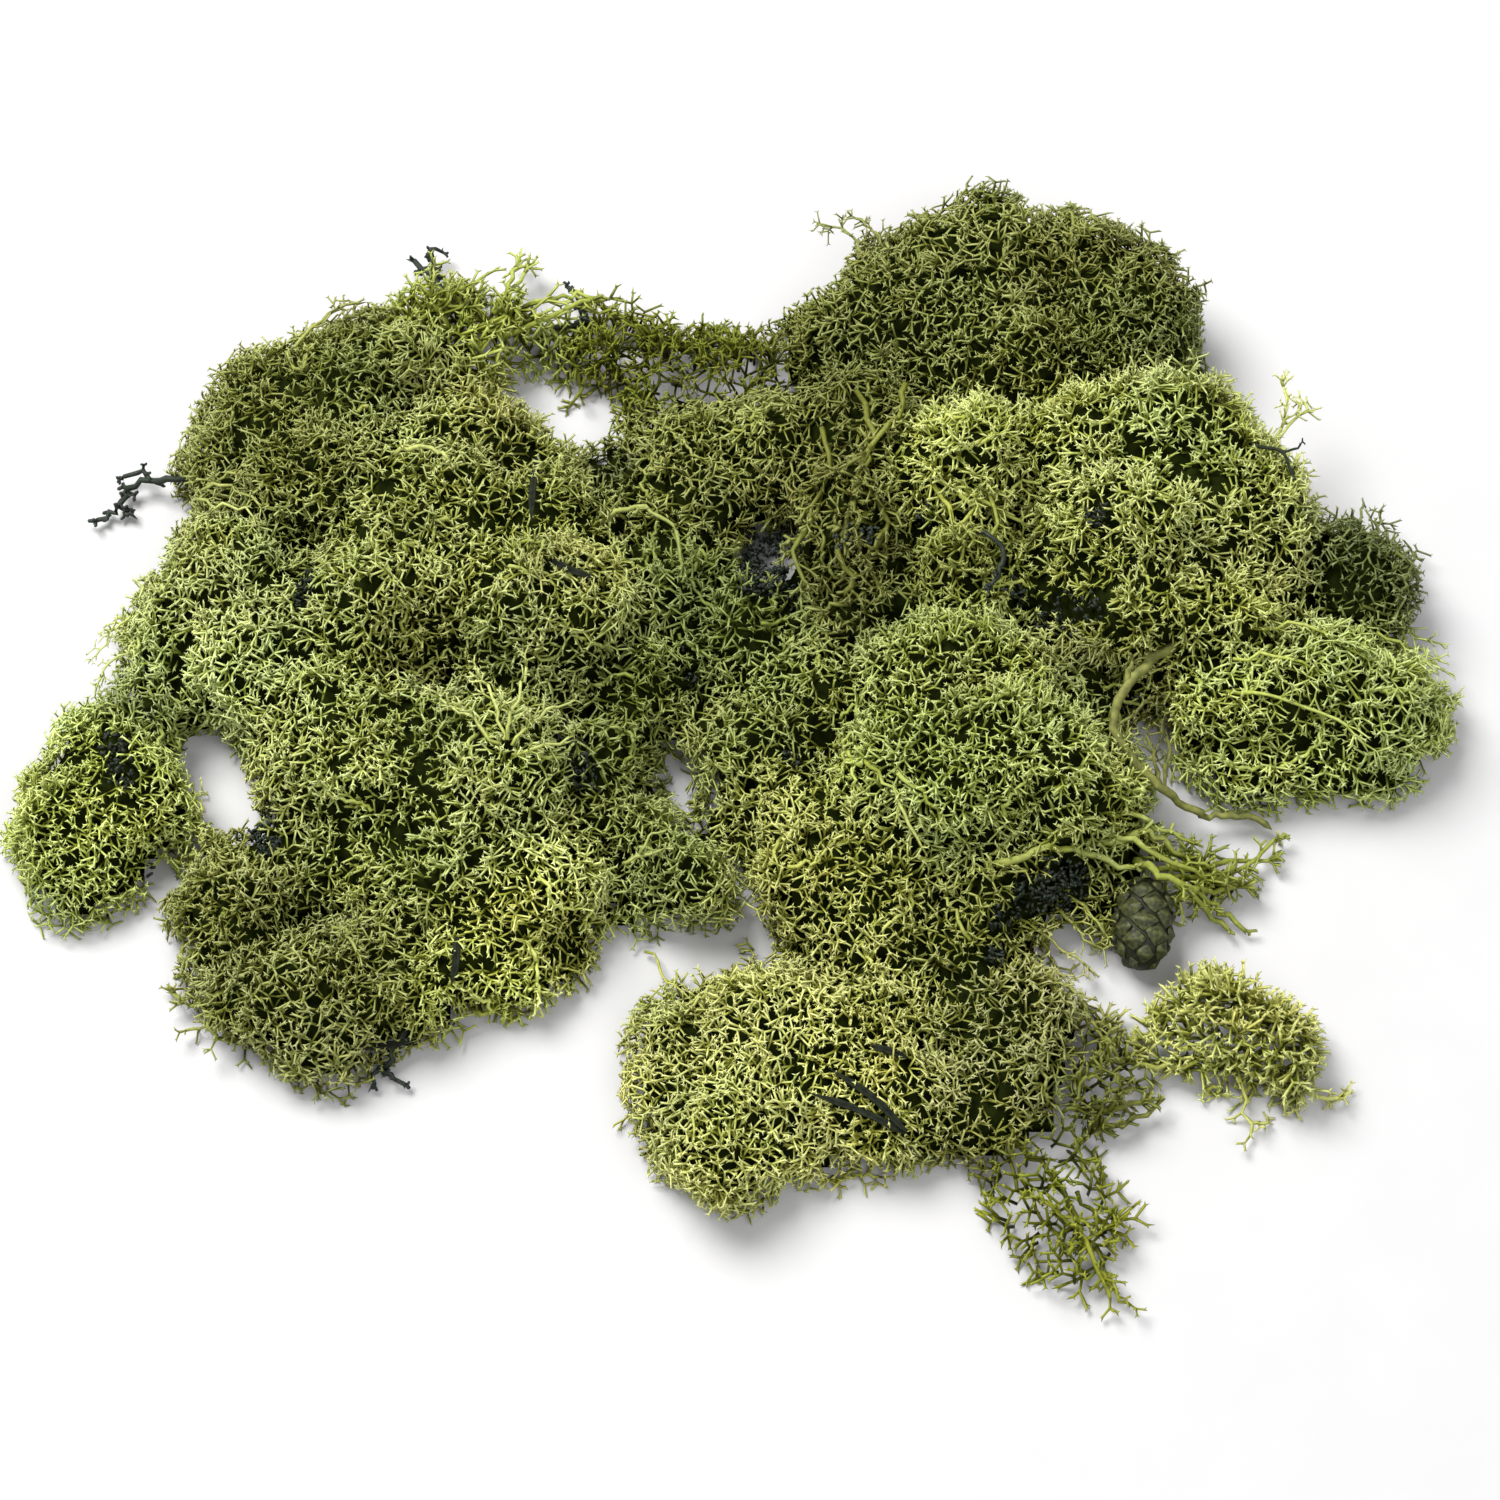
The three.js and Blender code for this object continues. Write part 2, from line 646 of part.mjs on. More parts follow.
/** Draws a rim in from the neighbours and stands it on the ground. Returns the foot's points. */
function addWall(loop, points, indexOf, lattice, triangles, cushion, random) {
  const count = loop.length;
  const edgeNormal = (i) => {
    const from = lattice.get(loop[(i + count) % count]).place;
    const to = lattice.get(loop[(i + 1) % count]).place;
    return new THREE.Vector3(to.y - from.y, from.x - to.x, 0).normalize();
  };
  const foot = loop.map((key, i) => {
    const top = points[indexOf.get(key)];
    const outward = edgeNormal(i - 1).add(edgeNormal(i));
    top.addScaledVector(outward, (-2 * TOUCH_GAP) / Math.max(outward.lengthSq(), 0.7));
    return points.push(new THREE.Vector3(top.x, top.y, 0)) - 1;
  });
  loop.forEach((key, i) => {
    const j = (i + 1) % count;
    const [topA, topB] = [indexOf.get(key), indexOf.get(loop[j])];
    const [footA, footB] = [foot[i], foot[j]];
    const place = points[topA].clone().add(points[topB]).multiplyScalar(0.5);
    place.addScaledVector(edgeNormal(i), SIDE_TIP);
    if (i % 2 === 1 || !isClear(place, cushion, SIDE_TIP_ROOM)) {
      triangles.push([topA, footA, topB], [footA, footB, topB]);
      return;
    }
    place.z *= 0.4 + 0.4 * random();
    const tip = points.push(place) - 1;
    triangles.push([topA, footA, tip], [footA, footB, tip], [footB, topB, tip], [topB, topA, tip]);
  });
  return foot;
}

// ---- Large branches -----------------------------------------------------------------------

/** The corners of a three-sided branch that parts into three pointed tips. */
function forkPoints(root, axis, twist, size) {
  const side = new THREE.Vector3(1, 0, 0);
  if (Math.abs(axis.x) > 0.8) side.set(0, 1, 0);
  side.cross(axis).normalize();
  const across = axis.clone().cross(side);
  const at = (along, out, angle) => root.clone()
    .addScaledVector(axis, along)
    .addScaledVector(side, out * Math.cos(angle))
    .addScaledVector(across, out * Math.sin(angle));
  const length = FORK_LENGTH * size;
  const neck = length * FORK_NECK;
  const third = (2 * Math.PI) / 3;
  const points = [];
  for (let i = 0; i < 3; i += 1) points.push(at(0, FORK_WIDTH * 0.6, twist + i * third));
  for (let i = 0; i < 3; i += 1) points.push(at(neck, FORK_WIDTH * 0.5, twist + i * third));
  for (let i = 0; i < 3; i += 1) points.push(at(length, FORK_SPREAD * size, twist + (i + 0.5) * third));
  points.push(at(neck + FORK_WIDTH * 0.1, 0, 0));
  return points;
}

const FORK_TRIANGLES = [[0, 2, 1]];
for (let i = 0; i < 3; i += 1) {
  const next = (i + 1) % 3;
  FORK_TRIANGLES.push([i, next, 3 + next], [i, 3 + next, 3 + i]);
  FORK_TRIANGLES.push([3 + i, 3 + next, 6 + i], [3 + next, 9, 6 + i], [9, 3 + i, 6 + i]);
}

const tipsTaken = [];

/** Scatters branches over one cushion, evenly and clear of its neighbours. */
function growForks(cushion, lobes, random) {
  const lean = vector(cushion.lean ?? [0, 0, 0]);
  const tries = FORK_TRIES * lobes.length;
  const forks = [];
  for (let i = 0; i < tries; i += 1) {
    const lobe = lobes[i % lobes.length];
    const height = -0.3 + 1.3 * random();
    const angle = 2 * Math.PI * random();
    const level = Math.sqrt(1 - height * height);
    const jitter = new THREE.Vector3(random() - 0.5, random() - 0.5, random() - 0.5);
    const twist = 2 * Math.PI * random();
    const size = 0.85 + 0.3 * random();
    const direction = new THREE.Vector3(level * Math.cos(angle), level * Math.sin(angle), height);
    const drop = height > 0 ? lobe.reach.z : lobe.centre.z;
    const scale = new THREE.Vector3(lobe.reach.x, lobe.reach.y, drop);
    const tip = direction.clone().multiply(scale).applyAxisAngle(UPWARD, lobe.turn).add(lobe.centre);
    if (tipsTaken.some((taken) => taken.distanceTo(tip) < FORK_SPACING)) continue;
    const top = heapAt(tip.x, tip.y);
    if (height > 0 && top !== null && top.height > tip.z + 2) continue;
    const axis = direction.clone().divide(scale).applyAxisAngle(UPWARD, lobe.turn).normalize();
    axis.addScaledVector(jitter, 2 * FORK_LEAN).add(lean);
    if (tip.z < FORK_SPREAD + 2) axis.z = Math.max(axis.z, 0.05);
    axis.normalize();
    const root = tip.clone().addScaledVector(axis, -FORK_LENGTH * size);
    const points = forkPoints(root, axis, twist, size);
    if (points.some((point) => point.z < LOWEST_TIP || !isClear(point, lobe.cushion, CELL))) continue;
    tipsTaken.push(tip);
    forks.push(toSolid(closedGeometry(points, FORK_TRIANGLES)));
  }
  return forks;
}

// ---- Strands: stems, needles, twigs and scraps ------------------------------------------

/** One tapering run along a list of places, with pointed ends. grow widens it all round. */
function strandSolid(run, width, tipWidth, grow) {
  const places = run.map(vector);
  const count = places.length;
  const points = [];
  for (let i = 0; i < count; i += 1) {
    const tangent = places[Math.min(i + 1, count - 1)].clone().sub(places[Math.max(i - 1, 0)]).normalize();
    const side = UPWARD.clone().cross(tangent).normalize();
    const over = tangent.clone().cross(side);
    const radius = THREE.MathUtils.lerp(width, tipWidth, i / (count - 1)) / 2 + grow;
    for (let j = 0; j < STRAND_SIDES; j += 1) {
      const angle = ((j + 0.5) / STRAND_SIDES) * 2 * Math.PI;
      points.push(places[i].clone()
        .addScaledVector(side, radius * Math.cos(angle))
        .addScaledVector(over, radius * Math.sin(angle)));
    }
  }
  const startCap = places[0].clone().sub(places[1]).setLength(width / 2 + grow).add(places[0]);
  const beforeLast = places[count - 2];
  const endCap = places[count - 1].clone().sub(beforeLast).setLength(tipWidth / 2 + grow).add(places[count - 1]);
  points.push(startCap, endCap);
  const first = count * STRAND_SIDES;
  const triangles = [];
  for (let j = 0; j < STRAND_SIDES; j += 1) {
    const next = (j + 1) % STRAND_SIDES;
    const last = (count - 1) * STRAND_SIDES;
    triangles.push([first, next, j], [first + 1, last + j, last + next]);
    for (let i = 0; i + 1 < count; i += 1) {
      const here = i * STRAND_SIDES;
      const there = here + STRAND_SIDES;
      triangles.push([here + j, here + next, there + next], [here + j, there + next, there + j]);
    }
  }
  return toSolid(closedGeometry(points, triangles));
}

const stemSolids = (cushion, grow) => (cushion.stems ?? [])
  .map((run) => strandSolid(run, STEM_WIDTH, STEM_TIP_WIDTH, grow));

const strandSolids = (strand, grow) => strand.runs
  .map((run) => strandSolid(run, strand.width, strand.tipWidth, grow));

// ---- The cone ---------------------------------------------------------------------------

/** A closed cone body whose scales are raised from it in offset rows. */
function coneGeometry(grow) {
  const columns = CONE_SCALES * 2;
  const rings = CONE_ROWS * 2;
  const points = [];
  for (let row = 1; row < rings; row += 1) {
    const along = row / rings;
    const profile = CONE_RADIUS * Math.sin(Math.PI * Math.pow(along, 0.85)) ** 0.6;
    for (let column = 0; column < columns; column += 1) {
      const boss = (row + column) % 2 === 0 ? SCALE_RELIEF : 0;
      const radius = Math.max(profile - SCALE_RELIEF + boss, 0.8) + grow;
      const angle = (column / columns) * 2 * Math.PI;
      points.push(new THREE.Vector3(
        radius * Math.cos(angle),
        radius * Math.sin(angle),
        (along - 0.5) * (CONE_LENGTH + 2 * grow),
      ));
    }
  }
  const foot = points.push(new THREE.Vector3(0, 0, -CONE_LENGTH / 2 - grow)) - 1;
  const top = points.push(new THREE.Vector3(0, 0, CONE_LENGTH / 2 + grow)) - 1;
  const triangles = [];
  for (let column = 0; column < columns; column += 1) {
    const next = (column + 1) % columns;
    const last = (rings - 2) * columns;
    triangles.push([foot, next, column], [top, last + column, last + next]);
    for (let row = 0; row + 2 < rings; row += 1) {
      const a = row * columns + column;
      const b = row * columns + next;
      const c = a + columns;
      const d = b + columns;
      const bossAtA = (row + 1 + column) % 2 === 0;
      if (bossAtA) triangles.push([a, b, c], [b, d, c]);
      else triangles.push([a, b, d], [a, d, c]);
    }
  }
  return closedGeometry(points, triangles);
}

function coneSolid(grow) {
  const geometry = coneGeometry(grow);
  const lying = new THREE.Matrix4().makeRotationFromEuler(new THREE.Euler(
    0,
    THREE.MathUtils.degToRad(90 - CONE.dip),
    THREE.MathUtils.degToRad(CONE.heading),
    "ZYX",
  ));
  geometry.applyMatrix4(lying);
  geometry.translate(...CONE.middle);
  const solid = toSolid(geometry);
  return solid.subtract(blockBeyond(DOWNWARD, 0));
}

// ---- The clump --------------------------------------------------------------------------

const lobesOf = CUSHIONS.map((cushion, index) => cushion.lobes.map((row) => makeLobe(row, index)));
const allLobes = lobesOf.flat();
const random = seededRandom(SEED);
const lattice = layLattice(random);
const shares = shareTriangles(lattice);

const group = new THREE.Group();
group.position.copy(HEAP_SHIFT);

function addMesh(name, colour, solid, roughness) {
  const material = new THREE.MeshStandardMaterial({ color: colour, roughness, metalness: 0 });
  const mesh = new THREE.Mesh(toGeometry(solid), material);
  mesh.name = name;
  group.add(mesh);
}

const clearances = STRANDS.flatMap((strand) => strandSolids(strand, TOUCH_GAP));
clearances.push(coneSolid(TOUCH_GAP));
const stemClearances = CUSHIONS.map((cushion) => stemSolids(cushion, TOUCH_GAP));

CUSHIONS.forEach((cushion, index) => {
  const mound = moundSolid(soundSheet(shares[index]), lattice, index, random);
  const forks = growForks(cushion, lobesOf[index], random);
  let solid = join([mound, ...forks]);
  stemClearances.forEach((others, owner) => {
    if (owner !== index) for (const other of others) solid = solid.subtract(other);
  });
  solid = join([solid, ...stemSolids(cushion, 0)]);
  for (const clearance of clearances) solid = solid.subtract(clearance);
  addMesh(cushion.name, cushion.colour, largestBody(solid), 0.95);
});

for (const strand of STRANDS) {
  addMesh(strand.name, strand.colour, join(strandSolids(strand, 0)), 0.8);
}
addMesh(CONE.name, CONE.colour, coneSolid(0), 0.75);

export default group;
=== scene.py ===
"""Reindeer moss clump: a heap of branching lichen cushions with a cone, needles and scraps in it.

Every cushion of the frame is replaced by a thicket of small branching heads that grow out of
the surface that its solid holds. Lengths are in metres; tables of places are in millimetres.
"""
import math
from itertools import product

import bpy
import numpy as np
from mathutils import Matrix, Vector
from mathutils.bvhtree import BVHTree


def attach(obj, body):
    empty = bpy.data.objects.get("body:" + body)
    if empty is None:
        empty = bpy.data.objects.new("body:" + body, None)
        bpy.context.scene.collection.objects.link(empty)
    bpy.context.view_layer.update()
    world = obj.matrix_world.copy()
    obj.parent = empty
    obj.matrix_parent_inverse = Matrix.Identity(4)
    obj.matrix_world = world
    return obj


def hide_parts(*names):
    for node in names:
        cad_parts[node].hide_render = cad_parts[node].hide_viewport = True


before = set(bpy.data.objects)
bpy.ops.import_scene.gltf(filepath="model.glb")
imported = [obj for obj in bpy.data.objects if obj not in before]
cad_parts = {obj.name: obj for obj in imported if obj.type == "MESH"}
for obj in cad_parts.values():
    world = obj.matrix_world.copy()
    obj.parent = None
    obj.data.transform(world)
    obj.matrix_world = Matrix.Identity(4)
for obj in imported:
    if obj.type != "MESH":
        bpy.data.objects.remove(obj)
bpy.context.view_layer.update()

MM = 0.001
HEAP_SHIFT = np.array([5.4, -10.5, 0.0]) * MM  # from the tables' places to the frame's

rng = np.random.default_rng(20261)


def table(text):
    """The numbers of a text table, whose rows are parted by commas."""
    return np.array([row.split() for row in text.split(",")], float)


def table_points(text):
    """Places in the frame, from a table with a height or a radius in its last column."""
    return table(text) * MM + HEAP_SHIFT


def unit(vectors):
    return vectors / np.maximum(np.linalg.norm(vectors, axis=-1, keepdims=True), 1e-9)


def sideways(axes):
    """Two directions across each axis."""
    helper = np.where(np.abs(axes[..., 2:3]) > 0.8, [1.0, 0, 0], [0, 0, 1.0])
    first = unit(np.cross(helper, axes))
    return first, np.cross(axes, first)


def linear(code):
    """A colour code as linear red, green, blue and alpha."""
    values = [int(code[i : i + 2], 16) / 255 for i in (0, 2, 4)]
    return [v / 12.92 if v <= 0.04045 else ((v + 0.055) / 1.055) ** 2.4 for v in values] + [1.0]


def add_object(name, data):
    made = bpy.data.objects.new(name, data)
    bpy.context.scene.collection.objects.link(made)
    return made


# ---- Looks of the cushions ----

PLAIN = dict(
    gap=3.25,  # between its heads, in mm
    length=9.2,  # of its heads, in mm
    thick=1.0,  # its branches, against LEVEL_WIDTHS
    lean=(0, 0, 0.1),  # what way its heads lean
    mat=0.75,  # how far branches that stand out are pressed back along its surface
    fan=0.35,  # how far its heads fan out from the middles of rosettes
    stems=4,  # how many thick stems wander over it
    stray=0,  # how far its stems in the STEMS table stray, in mm
    stem_tone=0.62,  # how light those are
    # the core is painted shade
    core=True,  # whether a dark core lies under its heads
    shift=(0, 0),  # from its solid, along the table in mm
)


def look(tip, **changes):
    """A cushion's look: the colour of its branch ends, and what differs from PLAIN."""
    return {**PLAIN, "tip": tip, **changes}


def spray(tip, **changes):
    """The look of an open spray, with no core and no rosettes."""
    return look(tip, core=False, fan=0, **changes)


LOOKS = {
    "far_left_cushion": look(
        "cfdc8d", gap=2.92, length=9, thick=0.9, stems=0, shift=(0.5, 2.5), fan=0.1
    ),
    "left_shoulder_cushion": look("8b9663"),
    "left_bright_cushion": look("bec989", gap=3.01, shift=(1.5, 0)),
    "left_dome_cushion": look("9ca265", gap=3.12, length=9.6, stems=8),
    "top_arm_spray": spray("a8b464", mat=0.2, gap=5.2, length=16, thick=1.5, stems=8),
    "left_middle_cushion": look("b8c07e", stems=14),
    "left_centre_cushion": look("c0ca87", stems=8),
    "lower_left_cushion": look("9ca269", gap=3.01, length=9, stems=3, shift=(1, -1), fan=0.2),
    "lower_bright_cushion": look("dce497", gap=3.01, lean=(0.3, -0.4, 0.15), shift=(-1, 1)),
    "tongue_cushion": look("adb775", gap=2.87, length=9, thick=0.9, stems=0, fan=0),
    "left_back_cushion": look("929d62", gap=3.31, length=10, stems=5),
    "bridge_cushion": look("727a28", mat=0.5, gap=3.9, length=13, thick=1.2, core=False, fan=0.2),
    "centre_top_cushion": look("9aa062", stems=6),
    "combed_cushion": look(
        "797e47", gap=3.89, length=11.2, thick=1.15, lean=(-0.25, -0.9, 0.1),
        stems=20, stray=2.4, stem_tone=0.46,
    ),
    "centre_cushion": look("828e55", mat=0.4, gap=3.5, length=11.2, thick=1.1, stems=8),
    "centre_low_cushion": look("a6af6e", gap=3.21),
    "front_centre_cushion": look("babe78", stems=6),
    "dark_dome_cushion": look("8d945b", gap=3.12, stems=4, shift=(0.5, 1), fan=0.3),
    "yellow_head_cushion": look(
        "cad183", mat=0.3, gap=3.12, length=10, thick=1.05, stems=5, fan=0.6
    ),
    "bright_cap_cushion": look(
        "c4cb84", mat=0.3, gap=3.12, length=10, thick=1.05, stems=6, fan=0.55
    ),
    "between_cushion": look("9ba35b", length=10, thick=1.15, stems=6, stray=2.4, stem_tone=0.5),
    "under_cap_cushion": look("565c34", gap=3.69),
    "dark_edge_cushion": look("717a4f", gap=3.5, shift=(1.5, 3.5), fan=0.1),
    "right_green_cushion": look(
        "c0cd85", lean=(0.5, -0.2, 0.1), length=10, stems=10, shift=(-1, 3), stem_tone=0.52
    ),
    "centre_right_cushion": look("b6c27d", mat=0.5, thick=1.05, stems=8, fan=0.3),
    "under_right_cushion": look("9da361", gap=3.6),
    "right_spray": spray("8e9749", mat=0.5, gap=6.0, length=15, thick=1.5),
    "front_cushion": look("d0d38c", gap=2.92, shift=(0.5, -1.5), fan=0),
    "front_net_cushion": look("adaf7b", gap=3.31, length=10, shift=(0, 2), fan=0.15),
    "link_spray": spray("73793b", mat=0.4, gap=6.0, length=12, thick=1.4, shift=(-1.5, 1)),
    "front_right_spray": spray(
        "c2c77e", mat=0.1, gap=3.7, length=11.5, thick=1.4, shift=(-3.5, 4.5)
    ),
    "tail_spray": spray("888e2f", mat=0.3, gap=5.6, length=11, thick=1.35, shift=(-2.5, 1.5)),
    "dark_tuft": look("1e263d", gap=3.5, stems=0),
}

# gaps that show the floor: round-ended slots, each by its ends and its radius
CLEARINGS = table("""
    -21 3 -16 -13 4.6, -6 -28 5 -45 4.2, -136 4 -133 -6 9, -149 -38 -147 -42 4,
    -61 112 -41 104 8, -62 102 -52 97 6
""")
# hollows where no heads grow and the dark core, painted shade, shows: places on the table, and
# radius
HOLLOWS = table_points("""
    -44 -3 4.5, -41 -10 4, -47 5 3, 24 50 4, 30 51 3, 3 48 3, 76 33 5, 84 30 4, 67 40 3.5,
    87 50 3, 96 13 3, 74 -38 5, 80 -35 4, -157 -4 2.5, -121 -19 3.5, -119 -27 3, -112 39 2.5,
    -14 22 2.5, -18 30 2, 44 60 2.5, 60 -55 3
""")
# patches where dark crumbled branches lie in the surface: places on the table, and reach
DARK_PATCHES = table_points("""
    -157 -3 4.5, -155 -11 4, -122 -18 4, -119 -26 4, -112 40 3, -112 35 2.5, 4 49 6, 0 43 4.5,
    8 43 4, 77 -37 7, 69 -40 5, 30 51 3, 86 50 3.5, -147 -28 3.5, -46 100 4, 10 -4 2.5,
    62 -46 3.5, 4 60 6.5, 10 54 4
""")

# ---- The heap's form, from the solids ----

VOXEL = 1.5 * MM
SMOOTHING = 8  # passes of a three-voxel blur, each way
MARGIN = 9  # empty voxels round the heap
THIN = 2 * MM  # solids that are lower than this aren't filled
ROUGHNESS, ROUGH_PASSES = 0.18, 12  # uneven lumps in the smoothed solid
MOTTLE, MOTTLE_PASSES = 0.08, 16  # lighter and darker patches
COLOUR_BLEND = 12  # passes that let the cushions' colours run together
SURFACE_FIELD = 0.5  # the smoothed solid's value at its surface
# the painted shade on the branches runs between these values of the smoothed solid
OPEN_FIELD, DEEP_FIELD = 0.10, 0.85  # where branches look lightest and darkest
LEAST_SLOPE = 20  # of the smoothed solid, in a metre, where places are moved along it
FLAT = (0, 1)  # axes along the table


def blur(grid, passes, axes=None):
    """Blurs a grid along the axes given, or along all."""
    for _ in range(passes):
        for axis in axes or range(grid.ndim):
            grid = (np.roll(grid, 1, axis) + grid + np.roll(grid, -1, axis)) / 3
    return grid


def soft_noise(shape, passes, kind=float):
    """A smooth random grid with a spread of one."""
    grid = blur(rng.normal(0, 1, shape).astype(kind), passes)
    return grid / grid.std()


def in_clearing(x, y):
    start, end = (CLEARINGS[:, i : i + 2] * MM + HEAP_SHIFT[:2] for i in (0, 2))
    along = end - start
    share = (((x, y) - start) * along).sum(axis=1) / (along * along).sum(axis=1)
    nearest = start + along * np.clip(share, 0, 1)[:, None]
    return (np.hypot(*(nearest - (x, y)).T) < CLEARINGS[:, 4] * MM).any()


class Heap:
    """The cushions' height and owner on a grid, and a smoothed solid."""

    def __init__(self):
        points, faces, owners = self.join_solids()
        low, high = points.min(0), points.max(0)
        self.origin = low * (1, 1, 0) - MARGIN * VOXEL
        self.size = np.ceil((high - self.origin) / VOXEL).astype(int) + MARGIN
        tree = BVHTree.FromPolygons(points.tolist(), faces.tolist())
        self.look_down(tree, owners, float(high[2]) + 10 * MM)
        self.fill()
        self.find_surface()
        self.blend_tips()

    def join_solids(self):
        """The cushions' solids as one mesh, and the cushion that owns each face."""
        points, faces, owners, count = [], [], [], 0
        for index, (name, kind) in enumerate(LOOKS.items()):
            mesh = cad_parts[name].data
            mesh.calc_loop_triangles()
            shift = np.array([*kind["shift"], 0]) * MM
            points.append(np.array([vertex.co for vertex in mesh.vertices]) + shift)
            faces.append(np.array([face.vertices for face in mesh.loop_triangles]) + count)
            owners.append(np.full(len(faces[-1]), index))
            count += len(mesh.vertices)
        return np.vstack(points), np.vstack(faces), np.concatenate(owners)

    def look_down(self, tree, owners, above):
        """Finds the height and the owner of each cell that isn't in a clearing."""
        self.height = np.zeros(self.size[:2])
        self.owner = np.full(self.size[:2], -1)
        for i, j in np.ndindex(*self.size[:2]):
            x, y = self.origin[:2] + np.array([i, j]) * VOXEL
            hit, _, face, _ = tree.ray_cast((x, y, above), (0, 0, -1))
            if hit is not None and not in_clearing(x, y):
                self.height[i, j] = hit.z
                self.owner[i, j] = owners[face]

    def fill(self):
        """Makes the smoothed solid: 1 inside the heap and 0 outside it."""
        levels = self.origin[2] + np.arange(self.size[2]) * VOXEL
        height = self.height[:, :, None]
        solid = (levels < height) & (height > THIN)
        self.field = blur(solid.astype(np.float32), SMOOTHING)
        self.field[:, :, -MARGIN // 2 :] = 0  # the blur carries the lowest layers round to the top
        lumps = np.clip(soft_noise(self.size, ROUGH_PASSES, np.float32), -2, 2)
        self.field += ROUGHNESS * lumps * 4 * self.field * (1 - self.field)
        self.slope = np.stack(np.gradient(self.field, VOXEL), axis=-1)

    def find_surface(self):
        """Finds the height of the smoothed solid's surface."""
        layers = self.size[2]
        inside = self.field > SURFACE_FIELD
        highest = layers - 1 - np.argmax(inside[:, :, ::-1], axis=2)
        i, j = np.indices(highest.shape)
        here, over = (self.field[i, j, np.minimum(highest + up, layers - 1)] for up in (0, 1))
        share = np.clip((here - SURFACE_FIELD) / np.maximum(here - over, 1e-3), 0, 1)
        level = self.origin[2] + (highest + share) * VOXEL
        self.surface = np.where(inside.any(axis=2), level, 0)

    def blend_tips(self):
        """Lets the colour of the branch ends run over from each cushion to the next."""
        tips = np.array([linear(kind["tip"])[:3] for kind in LOOKS.values()])
        owned = self.owner[:, :, None] >= 0
        spread = blur(np.where(owned, tips[self.owner], 0), COLOUR_BLEND, FLAT)
        weight = blur(owned.astype(float), COLOUR_BLEND, FLAT)
        mottle = 1 + MOTTLE * soft_noise(self.owner.shape, MOTTLE_PASSES)
        self.tips = spread / np.maximum(weight, 1e-4) * mottle[:, :, None]

    def cell(self, places):
        """Indices of the voxel at each place."""
        axes = places.shape[1]
        indices = np.rint((places - self.origin[:axes]) / VOXEL).astype(int)
        return tuple(np.clip(indices, 0, self.size[:axes] - 1).T)

    def column(self, places):
        """Indices of the grid's cell over each place."""
        return self.cell(places[:, :2])

    def outward(self, places):
        return unit(-self.slope[self.cell(places)])

    def openness(self, places):
        """1 at the outermost tips, 0 deep between the branches or in a crease: the mask of the
        painted shade.
        """
        depth = (self.field[self.cell(places)] - OPEN_FIELD) / (DEEP_FIELD - OPEN_FIELD)
        depth = np.clip(depth, 0, 1)
        return 1 - depth * depth * (3 - 2 * depth)

    def settle(self, places, level):
        """Moves places in or out to where the smoothed solid has the level given."""
        for _ in range(2):
            cell = self.cell(places)
            steep = np.maximum(np.linalg.norm(self.slope[cell], axis=1), LEAST_SLOPE)
            push = np.clip((self.field[cell] - level) / steep, -VOXEL, VOXEL)
            places = places + self.outward(places) * push[:, None]
        return places


SEED_FIELDS = (0.3, 0.7)  # the smoothed solid's values between which seeds start
LOWEST_SEED = 1.5 * MM
LOWEST_AXIS = -0.5  # of a seed that is kept
OWNER_DEPTH = 4  # in mm, where the cushion under a seed is looked up
OWNER_STRAY = 2.0 * MM  # how far neighbouring cushions grow into each other
PATCH_RIM = 0.8 * MM  # kept clear of heads round the dark patches
LOOKUP_CELL = 4.3 * MM  # seeds keep apart within their cell and those round it
AROUND = list(product((-1, 0, 1), repeat=3))


def spaced(places, gaps):
    """Picks places at random, each at least its gap away from those picked before it."""
    cells, chosen = {}, []
    for index in rng.permutation(len(places)):
        x, y, z = np.floor(places[index] / LOOKUP_CELL).astype(int).tolist()
        near = [n for dx, dy, dz in AROUND for n in cells.get((x + dx, y + dy, z + dz), ())]
        if near and (np.linalg.norm(places[near] - places[index], axis=1) < gaps[index]).any():
            continue
        cells.setdefault((x, y, z), []).append(index)
        chosen.append(index)
    return chosen


def scatter():
    """Evenly spaced seeds on the heap's smoothed surface: places, outward axes and owners."""
    low, high = SEED_FIELDS
    shell = np.argwhere((heap.field > low) & (heap.field < high))
    places = heap.origin + (shell + rng.uniform(-0.5, 0.5, shell.shape)) * VOXEL
    places = heap.settle(places, SURFACE_FIELD)
    axes = heap.outward(places)
    under = places - axes * OWNER_DEPTH * MM
    owners = heap.owner[heap.column(under)]
    strayed = heap.owner[heap.column(under + rng.normal(0, OWNER_STRAY, places.shape))]
    owners = np.where((owners >= 0) & (strayed >= 0), strayed, owners)
    keep = (places[:, 2] > LOWEST_SEED) & (owners >= 0) & (axes[:, 2] > LOWEST_AXIS)
    for x, y, radius in np.vstack([HOLLOWS, DARK_PATCHES + (0, 0, PATCH_RIM)]):
        keep &= np.hypot(places[:, 0] - x, places[:, 1] - y) > radius
    places, axes, owners = places[keep], axes[keep], owners[keep]
    gaps = np.array([kind["gap"] for kind in LOOKS.values()]) * MM
    chosen = spaced(places, gaps[owners])
    return places[chosen], axes[chosen], owners[chosen]


# ---- Branching heads ----

